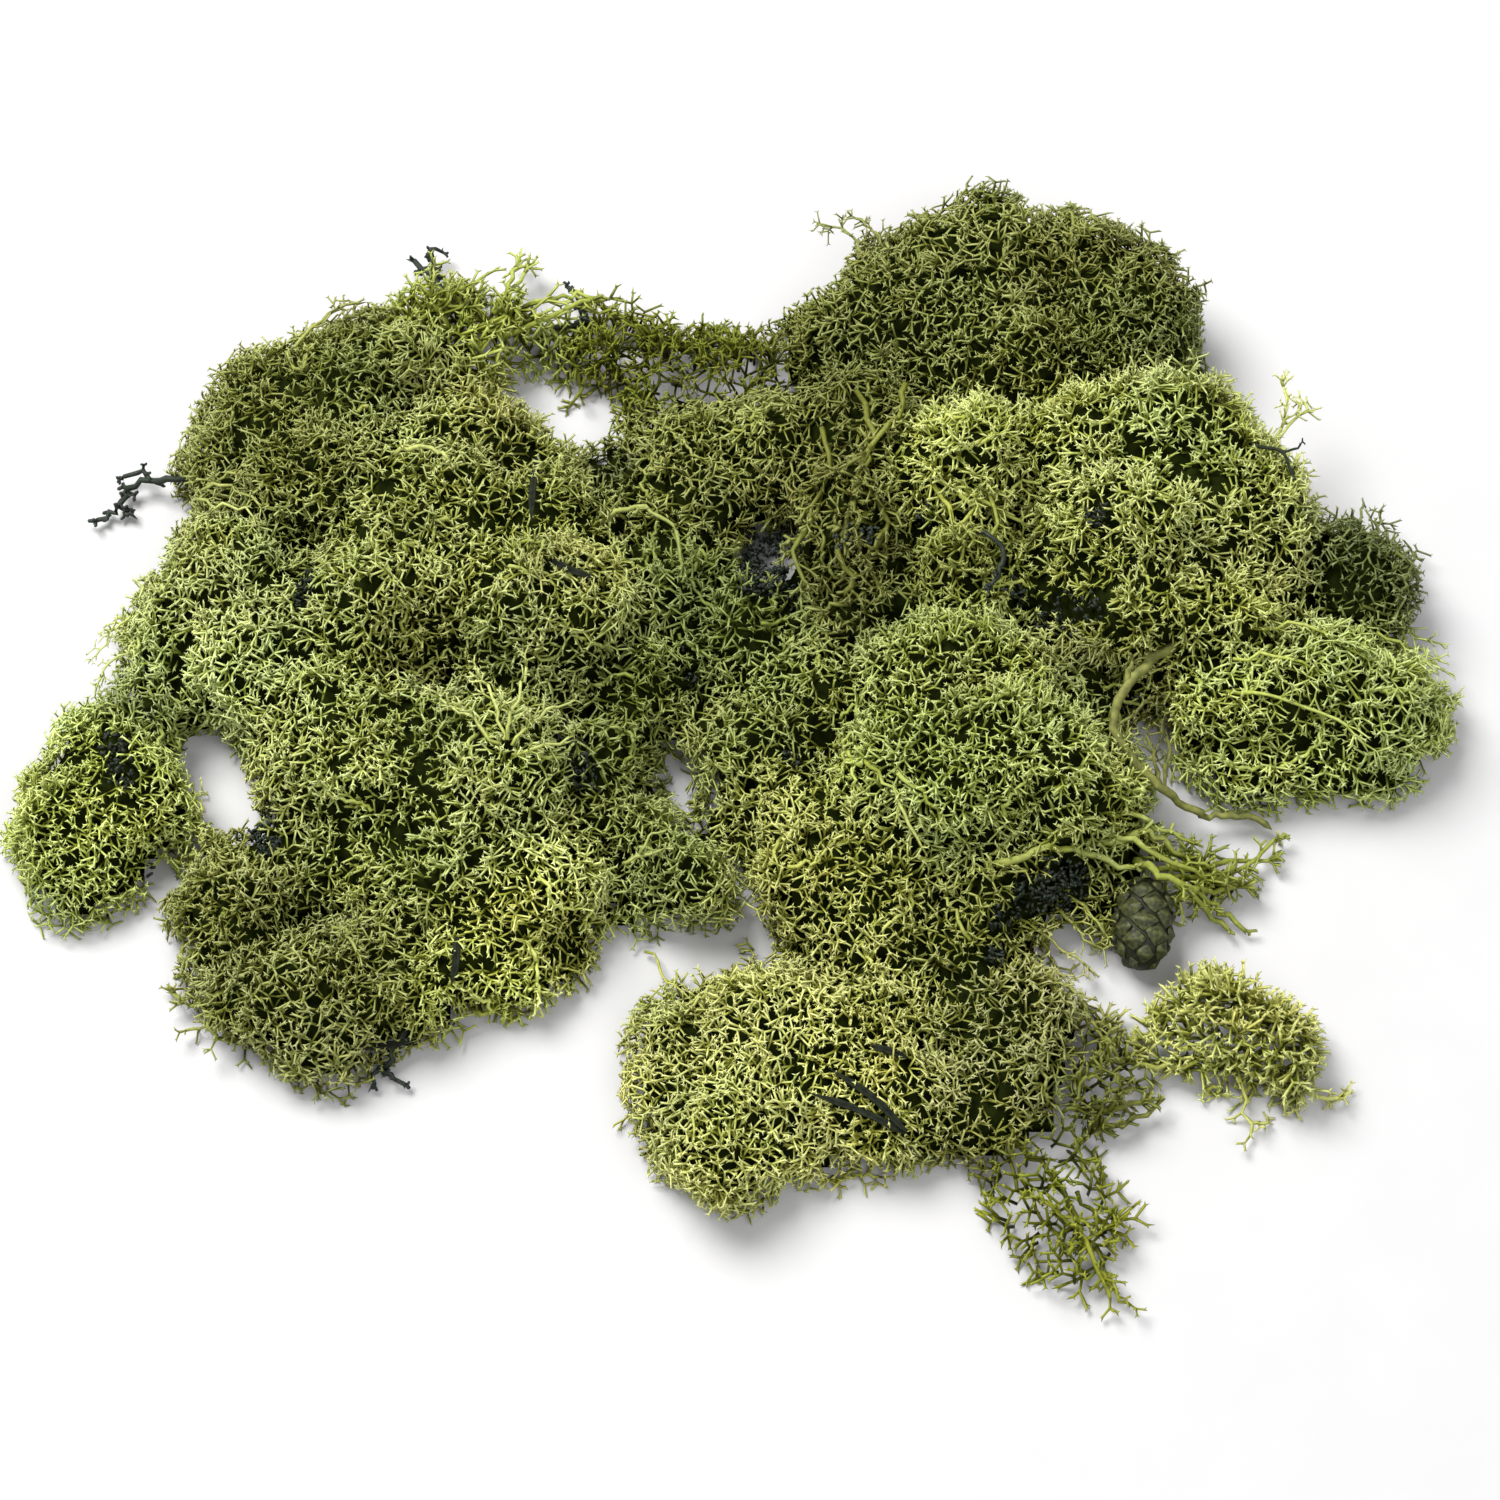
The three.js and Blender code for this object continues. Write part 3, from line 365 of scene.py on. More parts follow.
LEVEL_SHARES = (0.25, 0.29, 0.27, 0.115)  # of a head's length, level by level
LEVEL_SPREADS = (0.9, 0.95, 0.9)  # how far branches lean out at each fork, in radians
# painted shade: the tone is darker toward the roots, deep in the heads
LEVEL_TONES = (0.2, 0.45, 0.68, 0.86, 1.0)  # from the root to the tips
LEVEL_WIDTHS = (0.37 * MM, 0.34 * MM, 0.32 * MM, 0.30 * MM, 0.0)  # radius at the same places
CHILDREN = ((3, 3), (2, 3), (2, 3))  # fewest and most branches at each fork
CARRY_ON = 0.75  # lean of the branch that carries the stem on, against the others'
REACHES, TILTS = (0.65, 1.35), (0.6, 1.3)  # how lengths and leans vary
TURN_STRAY = 0.4  # radians
AXIS_PULL = 0.12  # how far branches turn back to their head's axis at each fork
LOWEST_BRANCH = 0.4 * MM
MAT_FIELD, MAT_BAND = 0.62, 0.3  # where in the smoothed solid branches are pressed back


def grow_heads(roots, axes, lengths, mat, spread=1.0, first_level=0):
    """Forking heads, as tubes that each run from a fork to a tip.

    A branch that carries its stem on goes on curling the same way, and a side branch curls back.
    mat is how far branches that stand out of the heap are pressed back along its surface.
    Gives for each level at which tubes begin: the points of each tube and its head's number.
    """
    heads, carried = np.arange(len(roots)), np.zeros(len(roots), bool)
    starts, directions = roots, unit(axes)
    curls = sideways(directions)[0]
    levels = []
    for level, share in list(enumerate(LEVEL_SHARES))[first_level:]:
        reach = lengths[heads] * share * rng.uniform(*REACHES, len(heads))
        ends = starts + directions * reach[:, None]
        ends[:, 2] = np.maximum(ends[:, 2], LOWEST_BRANCH)
        levels.append([starts, ends, heads, carried, None])
        if level == len(CHILDREN):
            break
        fewest, most = CHILDREN[level]
        counts = rng.integers(fewest, most + 1, len(heads))
        parent = np.repeat(np.arange(len(heads)), counts)
        first_child = np.cumsum(counts) - counts
        levels[-1][4] = first_child
        order = np.arange(len(parent)) - first_child[parent]
        carried = order == 0
        first, second = sideways(directions[parent])
        curl = curls[parent]
        if level == first_level:
            turn = rng.uniform(0, 2 * math.pi, len(heads))[parent]
        else:
            turn = np.arctan2((curl * second).sum(axis=1), (curl * first).sum(axis=1))
        stray = rng.normal(0, TURN_STRAY, len(parent))
        turn = turn + order * 2 * math.pi / counts[parent] + stray
        tilt = spread * LEVEL_SPREADS[level] * rng.uniform(*TILTS, len(parent))
        tilt *= np.where(carried, CARRY_ON, 1)
        across = first * np.cos(turn)[:, None] + second * np.sin(turn)[:, None]
        curls = across * np.where(carried, 1, -1)[:, None]
        pulled = directions[parent] + axes[heads[parent]] * AXIS_PULL
        directions = unit(unit(pulled) * np.cos(tilt)[:, None] + across * np.sin(tilt)[:, None])
        starts = ends[parent]
        out = heap.outward(starts)
        high = np.clip((MAT_FIELD - heap.field[heap.cell(starts)]) / MAT_BAND, 0, 1)
        rise = np.maximum((directions * out).sum(axis=1), 0) * high * mat
        directions = unit(directions - out * rise[:, None])
        heads = heads[parent]
    tubes = []
    for begin, (starts, _, heads, carried, _) in enumerate(levels):
        index = np.flatnonzero(~carried)
        points, numbers = [starts[index]], heads[index]
        for level in range(begin, len(levels)):
            points.append(levels[level][1][index])
            if level < len(levels) - 1:
                index = levels[level][4][index]
        tubes.append((begin + first_level, np.stack(points, axis=1), numbers))
    return tubes


# ---- Meshes ----

SWALLOWED_FIELD = 0.78  # the smoothed solid's value from which the cores hide branches
# painted shade: how dark branches are painted deep between the branches and in creases
CREASE_SHADE = 0.5  # how dark it is deep in creases
# painted shade near the table, where the cushions meet it
GROUND_SHADE_TONE, GROUND_SHADE = 0.55, 9 * MM  # how dark it is at the table, and up to what height
MIDDLE_TINT = 0.5  # neither warm nor cool


def band_faces(rings, sides):
    """Triangles between rings of points that follow each other along a tube."""
    starts = product(range(0, (rings - 1) * sides, sides), range(sides))
    bands = [(ring + k, ring + (k + 1) % sides) for ring, k in starts]
    faces = [((low, high, high + sides), (low, high + sides, low + sides)) for low, high in bands]
    return [face for pair in faces for face in pair]


def tip_faces(ring, sides, tip):
    """Triangles from a ring on to one point beyond it."""
    return [(ring + k, ring + (k + 1) % sides, tip) for k in range(sides)]


def tube_faces(rings, sides, tip=False):
    """Triangles of a tube that is flat at its foot, and at its end where it has no tip."""
    last = (rings - 1) * sides
    foot = [(0, k + 1, k) for k in range(1, sides - 1)]
    flat = [(last, last + k, last + k + 1) for k in range(1, sides - 1)]
    end = tip_faces(last, sides, last + sides) if tip else flat
    return np.array(foot + band_faces(rings, sides) + end)


def round_angles(sides):
    return 2 * math.pi * np.arange(sides) / sides


def circles(first, second, sides):
    """Circles of points, from two directions across the axis of each."""
    turns = round_angles(sides)[:, None]
    return first[..., None, :] * np.cos(turns) + second[..., None, :] * np.sin(turns)


class Thicket:
    """Gathers the vertices, faces and point values of one piece."""

    def __init__(self):
        self.parts, self.count = [], 0

    def add(self, points, faces, tones, tints=MIDDLE_TINT):
        """Adds a mesh; its tones and tints are by point, or one number for all of it."""
        size = len(points)
        values = np.broadcast_to(tones, size), np.broadcast_to(tints, size)
        self.parts.append((points, np.add(faces, self.count), *values))
        self.count += size

    def add_tubes(self, points, radii, tones, tints, sides=3):
        """Tubes through rows of points, each closed at its foot and drawn to a point at its end.

        radii and tones are by point along a tube, and tints are by tube.
        """
        count, length = points.shape[:2]
        along = unit(np.gradient(points, axis=1))
        side = sideways(along[:, :1])[0]
        side = unit(side - along * (side * along).sum(axis=-1, keepdims=True))
        other = np.cross(along, side)
        rings = length - 1
        across = circles(side[:, :rings], other[:, :rings], sides)
        ring_points = points[:, :rings, None] + across * np.asarray(radii)[:rings, None, None]
        vertices = np.concatenate([ring_points.reshape(count, -1, 3), points[:, -1:]], axis=1)
        size = rings * sides + 1
        faces = tube_faces(rings, sides, tip=True)[None] + (np.arange(count) * size)[:, None, None]
        tone = np.tile(np.append(np.repeat(tones[:rings], sides), tones[rings]), count)
        self.add(vertices.reshape(-1, 3), faces.reshape(-1, 3), tone, np.repeat(tints, size))

    def add_heads(self, tubes, thick, tints, cored=False):
        """Adds forking heads, without the parts that a core under them would swallow."""
        for begin, points, heads in tubes:
            if cored:
                depths = heap.field[heap.cell(points.reshape(-1, 3))].reshape(len(points), -1)
                shown = depths.min(axis=1) < SWALLOWED_FIELD
                points, heads = points[shown], heads[shown]
                if begin == 0:
                    points, begin = points[:, 1:], 1
            radii = np.array(LEVEL_WIDTHS[begin:]) * thick
            self.add_tubes(points, radii, LEVEL_TONES[begin:], tints[heads])

    def to_object(self, name, material, shaded=True, table_shade=False):
        """Makes the piece's object; it can paint shade deep between the branches and toward the
        table.
        """
        points, faces, tones, tints = (np.concatenate(part) for part in zip(*self.parts))
        if shaded:
            # painted shade, darkest deep between the branches and in creases
            tones = tones * (CREASE_SHADE + (1 - CREASE_SHADE) * heap.openness(points))
        if table_shade:
            # painted shade toward the table
            rise = np.clip(points[:, 2] / GROUND_SHADE, 0, 1)
            tones = tones * (GROUND_SHADE_TONE + (1 - GROUND_SHADE_TONE) * rise)
        mesh = bpy.data.meshes.new(name)
        mesh.from_pydata(points.tolist(), [], faces.tolist(), shade_flat=False)
        for label, values in (("tone", tones), ("tint", tints)):
            layer = mesh.attributes.new(label, "FLOAT", "POINT")
            layer.data.foreach_set("value", values.astype(np.float32))
        if shaded:
            layer = mesh.attributes.new("tip", "FLOAT_COLOR", "POINT")
            tips = np.pad(heap.tips[heap.column(points)], ((0, 0), (0, 1)), constant_values=1)
            layer.data.foreach_set("color", tips.astype(np.float32).ravel())
        mesh.materials.append(material)
        return add_object(name, mesh)


# ---- Stems ----

SPROUT_PLACES, END_PLACE = (0.2, 1.0), 0.97  # along a stem; its first sprout is near its end
SPROUT_RISE, SPROUT_MAT = 0.25, 0.3  # how far sprouts turn up, and are pressed back
SPROUT_THICK = 0.85  # against the stem's end
END_PALER = 0.14  # tone of a stem's end over its start's
WANDER_STEPS, WANDER_REACH = 5, 3.2 * MM
WANDER_FIELD = 0.42  # the smoothed solid's value along wandering stems
WANDER_WIDTHS, WANDER_SPROUTS, WANDER_TINT = (0.55 * MM, 0.38 * MM), (5, 7 * MM), 0.6
HEADING_STRAY, LOWEST_STEM = 0.4, 0.8 * MM


def smooth(points, steps=3):
    """Smooth curves through rows of points."""
    ahead, beyond = 2 * points[:, :1] - points[:, 1:2], 2 * points[:, -1:] - points[:, -2:-1]
    padded = np.concatenate([ahead, points, beyond], axis=1)
    before, start, end, after = padded[:, :-3], padded[:, 1:-2], padded[:, 2:-1], padded[:, 3:]
    square = 2 * before - 5 * start + 4 * end - after
    cube = 3 * start - before - 3 * end + after
    t = (np.arange(steps) / steps)[:, None]
    start, slope, square, cube = (v[:, :, None] for v in (start, end - before, square, cube))
    curve = 0.5 * (2 * start + slope * t + square * t**2 + cube * t**3)
    curve = curve.reshape(len(points), -1, 3)
    return np.concatenate([curve, points[:, -1:]], axis=1)


def crawl(places, headings):
    """Paths that wander over the heap's surface."""
    path = [places]
    for _ in range(WANDER_STEPS):
        out = heap.outward(places)
        headings = headings + rng.normal(0, HEADING_STRAY, headings.shape)
        headings = unit(headings - out * (headings * out).sum(axis=1, keepdims=True))
        places = heap.settle(places + headings * WANDER_REACH, WANDER_FIELD)
        places[:, 2] = np.maximum(places[:, 2], LOWEST_STEM)
        path.append(places)
    return np.stack(path, axis=1)


def add_stems(
    thicket, paths, widths, tint, sprouts, length, tone=0.62, spread=1.0, sides=5, crinkle=0.4 * MM
):
    """Smooth stems through rows of points, with forking sprouts on them."""
    first, last = widths
    curves = smooth(paths)
    curves[:, 1:-1] += rng.normal(0, crinkle, curves[:, 1:-1].shape)
    curves[:, :, 2] = np.maximum(curves[:, :, 2], first)
    steps = curves.shape[1]
    tones = np.linspace(tone, tone + END_PALER, steps)
    radii = np.linspace(first, last, steps) * rng.uniform(0.88, 1.12, steps)
    thicket.add_tubes(curves, radii, tones, np.full(len(curves), tint), sides)
    if not sprouts:
        return
    place = rng.uniform(*SPROUT_PLACES, (len(curves), sprouts))
    place[:, 0] = END_PLACE
    index = np.clip((place * (steps - 1)).astype(int), 1, steps - 1)
    rows = np.arange(len(curves))[:, None]
    roots = curves[rows, index].reshape(-1, 3)
    along = unit(curves[rows, index] - curves[rows, index - 1]).reshape(-1, 3)
    across, over = sideways(along)
    turn = rng.uniform(0, 2 * math.pi, len(roots))[:, None]
    lean = np.where(place.reshape(-1, 1) == END_PLACE, 0.25, 1.0) * spread
    aim = unit(along + lean * (across * np.cos(turn) + over * np.sin(turn)) + [0, 0, SPROUT_RISE])
    lengths = length * rng.uniform(0.7, 1.3, len(roots))
    heads = grow_heads(roots, aim, lengths, SPROUT_MAT, spread, first_level=1)
    thicket.add_heads(heads, last / LEVEL_WIDTHS[1] * SPROUT_THICK, np.full(len(roots), tint))


def stem_table(text):
    """Reads the stems of each piece: a line with its name, and then a line for each stem."""
    pieces = {}
    for line in text.strip().splitlines():
        row, bar, path = line.partition("|")
        if not bar:
            stems = pieces.setdefault(row, [])
            continue
        values = [float(value) for value in row.split()] or values
        first, last, sprouts, length = values
        stems.append((np.array([first, last]), int(sprouts), length, table_points(path)))
    return pieces


# half a stem's width at its start and its end in mm, how many sprouts it has and how long they
# are in mm, where these aren't as in the line above | the places it runs through
STEMS = stem_table("""
top_arm_spray
0.9 0.6 9 11 | -66 120 16, -54 127 14, -45 134 10, -38 138 6
0.8 0.5 6 10 | -68 128 14, -65 135 14, -63 144 10, -60 151 6
0.7 0.5 5 10 | -66 132 14, -63 139 11, -59 146 8
0.7 0.5 5 9 | -54 127 11, -47 118 6, -44 111 4, -48 107 2
0.8 0.55 3 8 | -60 131 13, -52 134 13, -46 136 11, -39 136 9
0.8 0.5 8 11 | -88 120 22, -80 129 20, -74 136 16, -70 144 10
0.7 0.5 8 11 | -98 118 22, -92 128 19, -88 136 14, -84 142 9
left_dome_cushion
0.52 0.4 6 9 | -118 108 30, -112 117 28, -106 125 23, -101 130 17
| -132 100 27, -127 108 25, -121 115 20, -117 121 14
left_middle_cushion
0.75 0.48 4 7 | -89 69 43, -84 70 45, -79 69 45, -74 66 44
0.52 0.32 6 8 | -140 68 26, -135 69 27, -129 67 26, -123 63 26
| -141 66 25, -136 63 26, -130 62 27, -124 58 27
0.45 0.32 6 8 | -139 70 25, -133 72 27, -127 72 28, -121 70 29
left_bright_cushion
0.38 0.24 9 6 | -157 36 18, -161 34 16, -164 30 14, -166 26 12
0.38 0.24 8 6 | -155 28 17, -160 26 16, -164 22 13, -166 17 9
left_centre_cushion
0.5 0.35 7 8 | -60 -8 38, -61 -2 41, -64 4 42, -68 10 42
| -59 -8 38, -58 -1 41, -56 5 42, -55 11 42
| -58 -9 37, -53 -4 39, -48 0 40, -42 4 38
| -61 -9 38, -66 -4 40, -71 -1 40, -77 3 40
| -58 -11 36, -53 -10 37, -47 -8 36, -42 -5 35
left_back_cushion
0.68 0.48 4 8 | -36 62 22, -31 63 26, -26 61 28, -20 58 27, -18 50 27, -17 44 25
combed_cushion
0.85 0.55 8 10 | 42 92 36, 36 85 36, 30 77 34, 22 70 31
| 30 92 32, 30 82 34, 28 71 34, 24 60 32
0.94 0.65 7 9 | 33 78 35, 30 68 34, 26 58 33, 24 48 31
0.75 0.55 8 9 | 19 84 30, 21 73 31, 20 62 31, 16 52 28
0.94 0.65 7 9 | 25 60 33, 24 50 32, 23 41 30, 22 33 27
0.81 0.65 7 9 | 30 66 33, 33 57 31, 33 47 29, 31 38 27
0.81 0.53 6 9 | 17 70 30, 14 60 29, 14 50 28, 16 40 27
between_cushion
0.7 0.45 7 8 | 50 70 35, 56 64 35, 63 58 34, 70 54 31
| 54 72 36, 58 64 36, 62 55 34, 64 47 31
0.65 0.45 7 8 | 47 66 35, 50 58 34, 53 50 33, 54 43 31
0.81 0.53 5 8 | 45 76 35, 48 68 35, 52 60 35, 55 52 34
tongue_cushion
0.52 0.36 3 5 | -31 -33 20, -26 -32 24, -20 -31 26
0.38 0.28 2 4 | -27 -32 24, -24 -28 26, -20 -26 26
lower_left_cushion
0.52 0.4 7 7 | -128 -62 7, -136 -64 5, -144 -60 3
0.45 0.36 4 6 | -130 -71 6, -135 -70 4, -140 -71 3
dark_dome_cushion
0.45 0.32 9 9 | 32 136 26, 28 141 28, 25 145 28, 22 147 27
0.45 0.32 8 8 | 36 140 27, 33 145 28, 30 149 26, 28 152 23
bright_cap_cushion
0.52 0.36 9 8 | 130 79 27, 136 84 26, 142 91 24, 145 97 22
0.45 0.32 9 7 | 134 81 26, 138 89 25, 139 96 24, 138 102 22
dark_edge_cushion
0.5 0.4 9 8 | 150 56 16, 154 62 15, 158 68 12, 160 74 9
| 156 54 16, 160 60 14, 163 66 11, 164 71 8
| 162 48 15, 167 52 12, 171 56 9, 172 61 6
centre_right_cushion
0.68 0.4 4 8 | 36 -15 34, 42 -20 33, 47 -25 29, 52 -29 22
| 46 -12 37, 52 -18 35, 58 -23 31, 62 -28 25
0.6 0.4 4 8 | 28 -10 30, 33 -16 30, 38 -23 27, 42 -30 21
right_green_cushion
0.5 0.36 7 9 | 118 10 28, 128 8 30, 138 5 30, 147 1 27, 154 -5 21
0.48 0.36 7 9 | 120 18 30, 130 17 33, 140 14 33, 150 9 29, 158 3 22
0.48 0.36 6 9 | 124 26 31, 134 26 34, 145 22 33, 155 17 28
0.45 0.32 9 7 | 166 16 14, 172 16 12, 176 17 9, 179 19 6
0.5 0.35 9 8 | 155 38 20, 163 37 17, 170 35 12, 175 33 8
| 158 30 21, 166 28 17, 172 26 12, 177 25 8
right_spray
1.1 0.7 6 8 | 83 -27 17, 92 -25 18, 99 -22 15, 104 -25 12, 109 -27 9
1.2 0.7 5 7 | 96 -27 6, 97 -30 14, 101 -35 18, 108 -36 13, 115 -35 8, 122 -33 6
0.9 0.6 1 4 | 110 -36 11, 115 -38 6, 121 -42 4, 123 -45 3
| 108 -36 13, 115 -41 4, 120 -44 2
0.9 0.5 7 8 | 101 -31 12, 112 -29 9, 122 -26 6, 134 -25 3
0.9 0.5 8 8 | 104 -33 10, 113 -32 8, 121 -29 6, 128 -23 5, 132 -19 4
0.9 0.5 5 8 | 86 -24 20, 94 -27 20, 103 -31 17, 112 -33 12, 120 -31 8
0.8 0.5 4 7 | 88 -20 21, 96 -20 18, 104 -22 14, 111 -25 10
0.5 0.35 9 9 | 68 -34 12, 75 -41 11, 81 -46 8, 87 -50 5
| 64 -41 10, 71 -47 9, 78 -51 6, 84 -54 4
0.5 0.35 9 8 | 74 -33 13, 80 -39 12, 85 -44 9, 89 -49 6
| 60 -46 9, 66 -51 8, 73 -55 6, 79 -57 4
1.1 0.8 1 5 | 60 -34 22, 70 -31 23, 79 -30 21, 88 -31 18, 96 -33 16
front_cushion
0.38 0.24 4 5 | -26 -49 2, -22 -55 4, -16 -62 7, -11 -70 8
link_spray
1.1 0.7 5 8 | 77 -90 6, 84 -92 7, 90 -91 7, 96 -89 6
0.8 0.6 5 8 | 83 -88 6, 85 -96 5, 93 -94 5, 101 -88 4
0.9 0.6 4 7 | 84 -80 6, 92 -80 7, 102 -81 6, 112 -78 6
0.7 0.5 5 8 | 80 -84 8, 85 -78 9, 88 -72 7
front_right_spray
0.7 0.45 7 8 | 131 -84 8, 138 -88 5, 145 -88 2
0.6 0.45 4 6 | 118 -76 6, 119 -85 5, 121 -94 3, 122 -98 2
0.5 0.4 3 5 | 121 -94 3, 124 -94 3, 127 -94 2
0.8 0.5 9 9 | 104 -74 8, 112 -70 12, 121 -69 13, 130 -72 10
tail_spray
0.8 0.5 9 8 | 58 -96 5, 65 -102 7, 72 -108 8, 77 -119 9, 81 -129 8, 84 -135 5, 85 -138 3
0.6 0.4 4 6 | 81 -129 8, 85 -135 5, 88 -138 3, 90 -140 2
0.6 0.45 6 7 | 78 -113 8, 81 -116 6, 85 -120 5, 90 -120 3
0.6 0.4 3 5 | 82 -118 6, 86 -121 4, 89 -123 2
0.6 0.45 7 7 | 62 -104 6, 64 -112 8, 70 -120 8, 76 -128 6
long_stalk
1.35 0.8 0 5 | 106 24 25, 100 19 28, 94 12 27, 90 4 25, 92 -2 23, 99 -9 18, 105 -12 13, \
111 -14 9, 114 -15 7, 120 -15 7, 125 -14 6, 131 -17 4
0.8 0.5 2 5 | 94 12 26, 94 15 29, 95 18 31
0.6 0.4 5 7 | 102 -11 15, 101 -7 18, 100 -3 21, 98 1 23
0.5 0.35 5 7 | 103 -11 15, 103 -7 19, 104 -3 22, 103 2 24
0.5 0.35 3 5 | 91 2 24, 95 5 25, 98 9 26
""")
SCRAPS = stem_table("""
twig_right
0.4 0.25 2 3 | 126 71 44, 134 71 41, 139 65 36, 140 53 31
0.3 0.2 1 3 | 134 71 41, 137 72 40, 139 75 38
dark_scrap_left
0.8 0.5 9 5 | -143 80 11, -150 81 8, -157 82 6, -163 81 4, -165 76 3, -168 74 3, -172 71 2
0.6 0.4 5 4 | -165 76 3, -163 74 3, -160 72 3
| -157 82 6, -160 86 5, -165 84 4
dark_scrap_top
0.8 0.5 8 5 | -79 134 12, -83 141 11, -86 146 8, -93 151 5
0.6 0.4 6 4 | -86 146 8, -87 150 7, -86 153 6, -83 155 5
dark_scrap_arm
0.7 0.5 6 4 | -52 127 9, -47 129 8, -43 129 7
0.7 0.4 6 4 | -43 129 7, -45 135 7, -47 139 6, -50 142 5
dark_scrap_fold
0.55 0.4 6 4 | 57 50 37, 61 48 37, 64 44 35, 62 40 34, 59 37 33
dark_scrap_bottom
0.7 0.4 6 4 | -84 -72 8, -87 -77 5, -90 -80 3, -93 -86 2
0.5 0.4 4 3 | -90 -80 3, -86 -83 3, -84 -85 2
""")

# ---- Dark cores: painted shade under the heads ----

CORE_STEP = 2  # voxels
CORE_UNDER = 2.9 * MM  # below the smoothed surface
CORE_GROUND = 2 * MM  # where the heap is lower than this, there is no core
CORE_FOOT, CORE_LEAST = 0.5 * MM, 1.4 * MM  # heights of its underside and its lowest top
# the cores' tone: they are painted shade, dark under the heads
CORE_TONE = 0.3


def core_mesh(index):
    """A painted-shade mound under one cushion's heads, closed at the foot, or None where it is too
    thin.
    """
    steps = product((-1, 0, 1), repeat=2)
    inset = np.min([np.roll(heap.surface, step, FLAT) for step in steps], axis=0)
    top = np.where(inset > CORE_GROUND, np.maximum(inset - CORE_UNDER, CORE_LEAST), 0)
    top, own = top[::CORE_STEP, ::CORE_STEP], heap.owner[::CORE_STEP, ::CORE_STEP]
    tall = top > 0
    cells = tall[:-1, :-1] & tall[1:, :-1] & tall[:-1, 1:] & tall[1:, 1:] & (own[:-1, :-1] == index)
    if cells.sum() < 2:
        return None
    faces, filled = [], np.pad(cells, 1)
    for i, j in np.argwhere(cells):
        up = [(i, j, 1), (i + 1, j, 1), (i + 1, j + 1, 1), (i, j + 1, 1)]
        down = [(*place, 0) for *place, _ in up]
        faces += [up[:3], (up[0], up[2], up[3])]
        faces += [(down[0], down[2], down[1]), (down[0], down[3], down[2])]
        for k, (di, dj) in enumerate(((0, -1), (1, 0), (0, 1), (-1, 0))):
            if not filled[i + 1 + di, j + 1 + dj]:
                n = (k + 1) % 4
                faces += [(down[k], down[n], up[n]), (down[k], up[n], up[k])]
    corners, faces = np.unique(np.reshape(faces, (-1, 3)), axis=0, return_inverse=True)
    i, j, level = corners.T
    places = heap.origin[:2] + corners[:, :2] * CORE_STEP * VOXEL
    return np.column_stack([places, np.where(level, top[i, j], CORE_FOOT)]), faces.reshape(-1, 3)


# ---- Materials ----

WHITE = (1, 1, 1, 1)
WARM, COOL = (1.0, 0.93, 0.8, 1), (0.88, 0.95, 0.97, 1)  # at the ends of the point value "tint"
SPECKLE, SPECKLE_SCALE = (0.72, 0.72, 0.70, 1), 900
# the darkest painted shade
LOW_TONE = (0.15, 0.15, 0.15, 1)  # of dull colours
# share of the tips' colour by tone, from deep between the branches to their ends, over the gain:
# painted shade of the deep parts
LICHEN_GAIN = 1.25
LICHEN_SHADES = table("""
    0 0.01 0.01 0.003, 0.22 0.13 0.137 0.01, 0.48 0.5 0.51 0.22, 0.8 0.81 0.81 0.74, 1 0.95 0.91 1
""")


def new_material(name, roughness, gloss=0.5):
    material = bpy.data.materials.new(name)
    material.use_nodes = True
    inputs = material.node_tree.nodes["Principled BSDF"].inputs
    inputs["Roughness"].default_value = roughness
    inputs["Specular IOR Level"].default_value = gloss
    return material, material.node_tree, inputs["Base Color"]


def noise(tree, scale, detail=2.0):
    node = tree.nodes.new("ShaderNodeTexNoise")
    node.inputs["Scale"].default_value = scale
    node.inputs["Detail"].default_value = detail
    where = tree.nodes.new("ShaderNodeTexCoord")
    tree.links.new(where.outputs["Object"], node.inputs["Vector"])
    return node.outputs["Fac"]


def multiply(tree, first, second):
    """The product of two colours, each of them a socket or a constant."""
    node = tree.nodes.new("ShaderNodeMix")
    node.data_type = "RGBA"
    node.blend_type = "MULTIPLY"
    node.inputs["Factor"].default_value = 1.0
    colours = [socket for socket in node.inputs if socket.type == "RGBA"]
    for target, value in zip(colours, (first, second)):
        if hasattr(value, "links"):
            tree.links.new(value, target)
        else:
            target.default_value = value
    return [socket for socket in node.outputs if socket.type == "RGBA"][0]


def ramp(tree, factor, stops):
    node = tree.nodes.new("ShaderNodeValToRGB")
    elements = node.color_ramp.elements
    while len(elements) < len(stops):
        elements.new(0.5)
    for element, stop in zip(elements, stops):
        element.position, element.color = stop
    tree.links.new(factor, node.inputs["Fac"])
    return node.outputs["Color"]


def attribute(tree, name, output="Fac"):
    node = tree.nodes.new("ShaderNodeAttribute")
    node.attribute_name = name
    return node.outputs[output]


def lichen(name, tip=None):
    """Lichen with painted shade, dark and saturated between the branches and pale at their ends.

    The colour of the ends is tip, or the point colour "tip" where none is given.
    """
    material, tree, base = new_material(name, 0.55, 0.2)
    ends = linear(tip) if tip else attribute(tree, "tip", "Color")
    stops = [(position, (*shade, 1)) for position, *shade in LICHEN_SHADES]
    colour = multiply(tree, ramp(tree, attribute(tree, "tone"), stops), ends)
    tint = attribute(tree, "tint")
    factors = (
        ramp(tree, tint, [(0.6, WHITE), (1.0, WARM)]),
        ramp(tree, tint, [(0.0, COOL), (0.4, WHITE)]),
        ramp(tree, noise(tree, SPECKLE_SCALE), [(0.35, SPECKLE), (0.65, WHITE)]),
        (LICHEN_GAIN, LICHEN_GAIN, LICHEN_GAIN, 1),
    )
    for factor in factors:
        colour = multiply(tree, colour, factor)
    tree.links.new(colour, base)
    return material


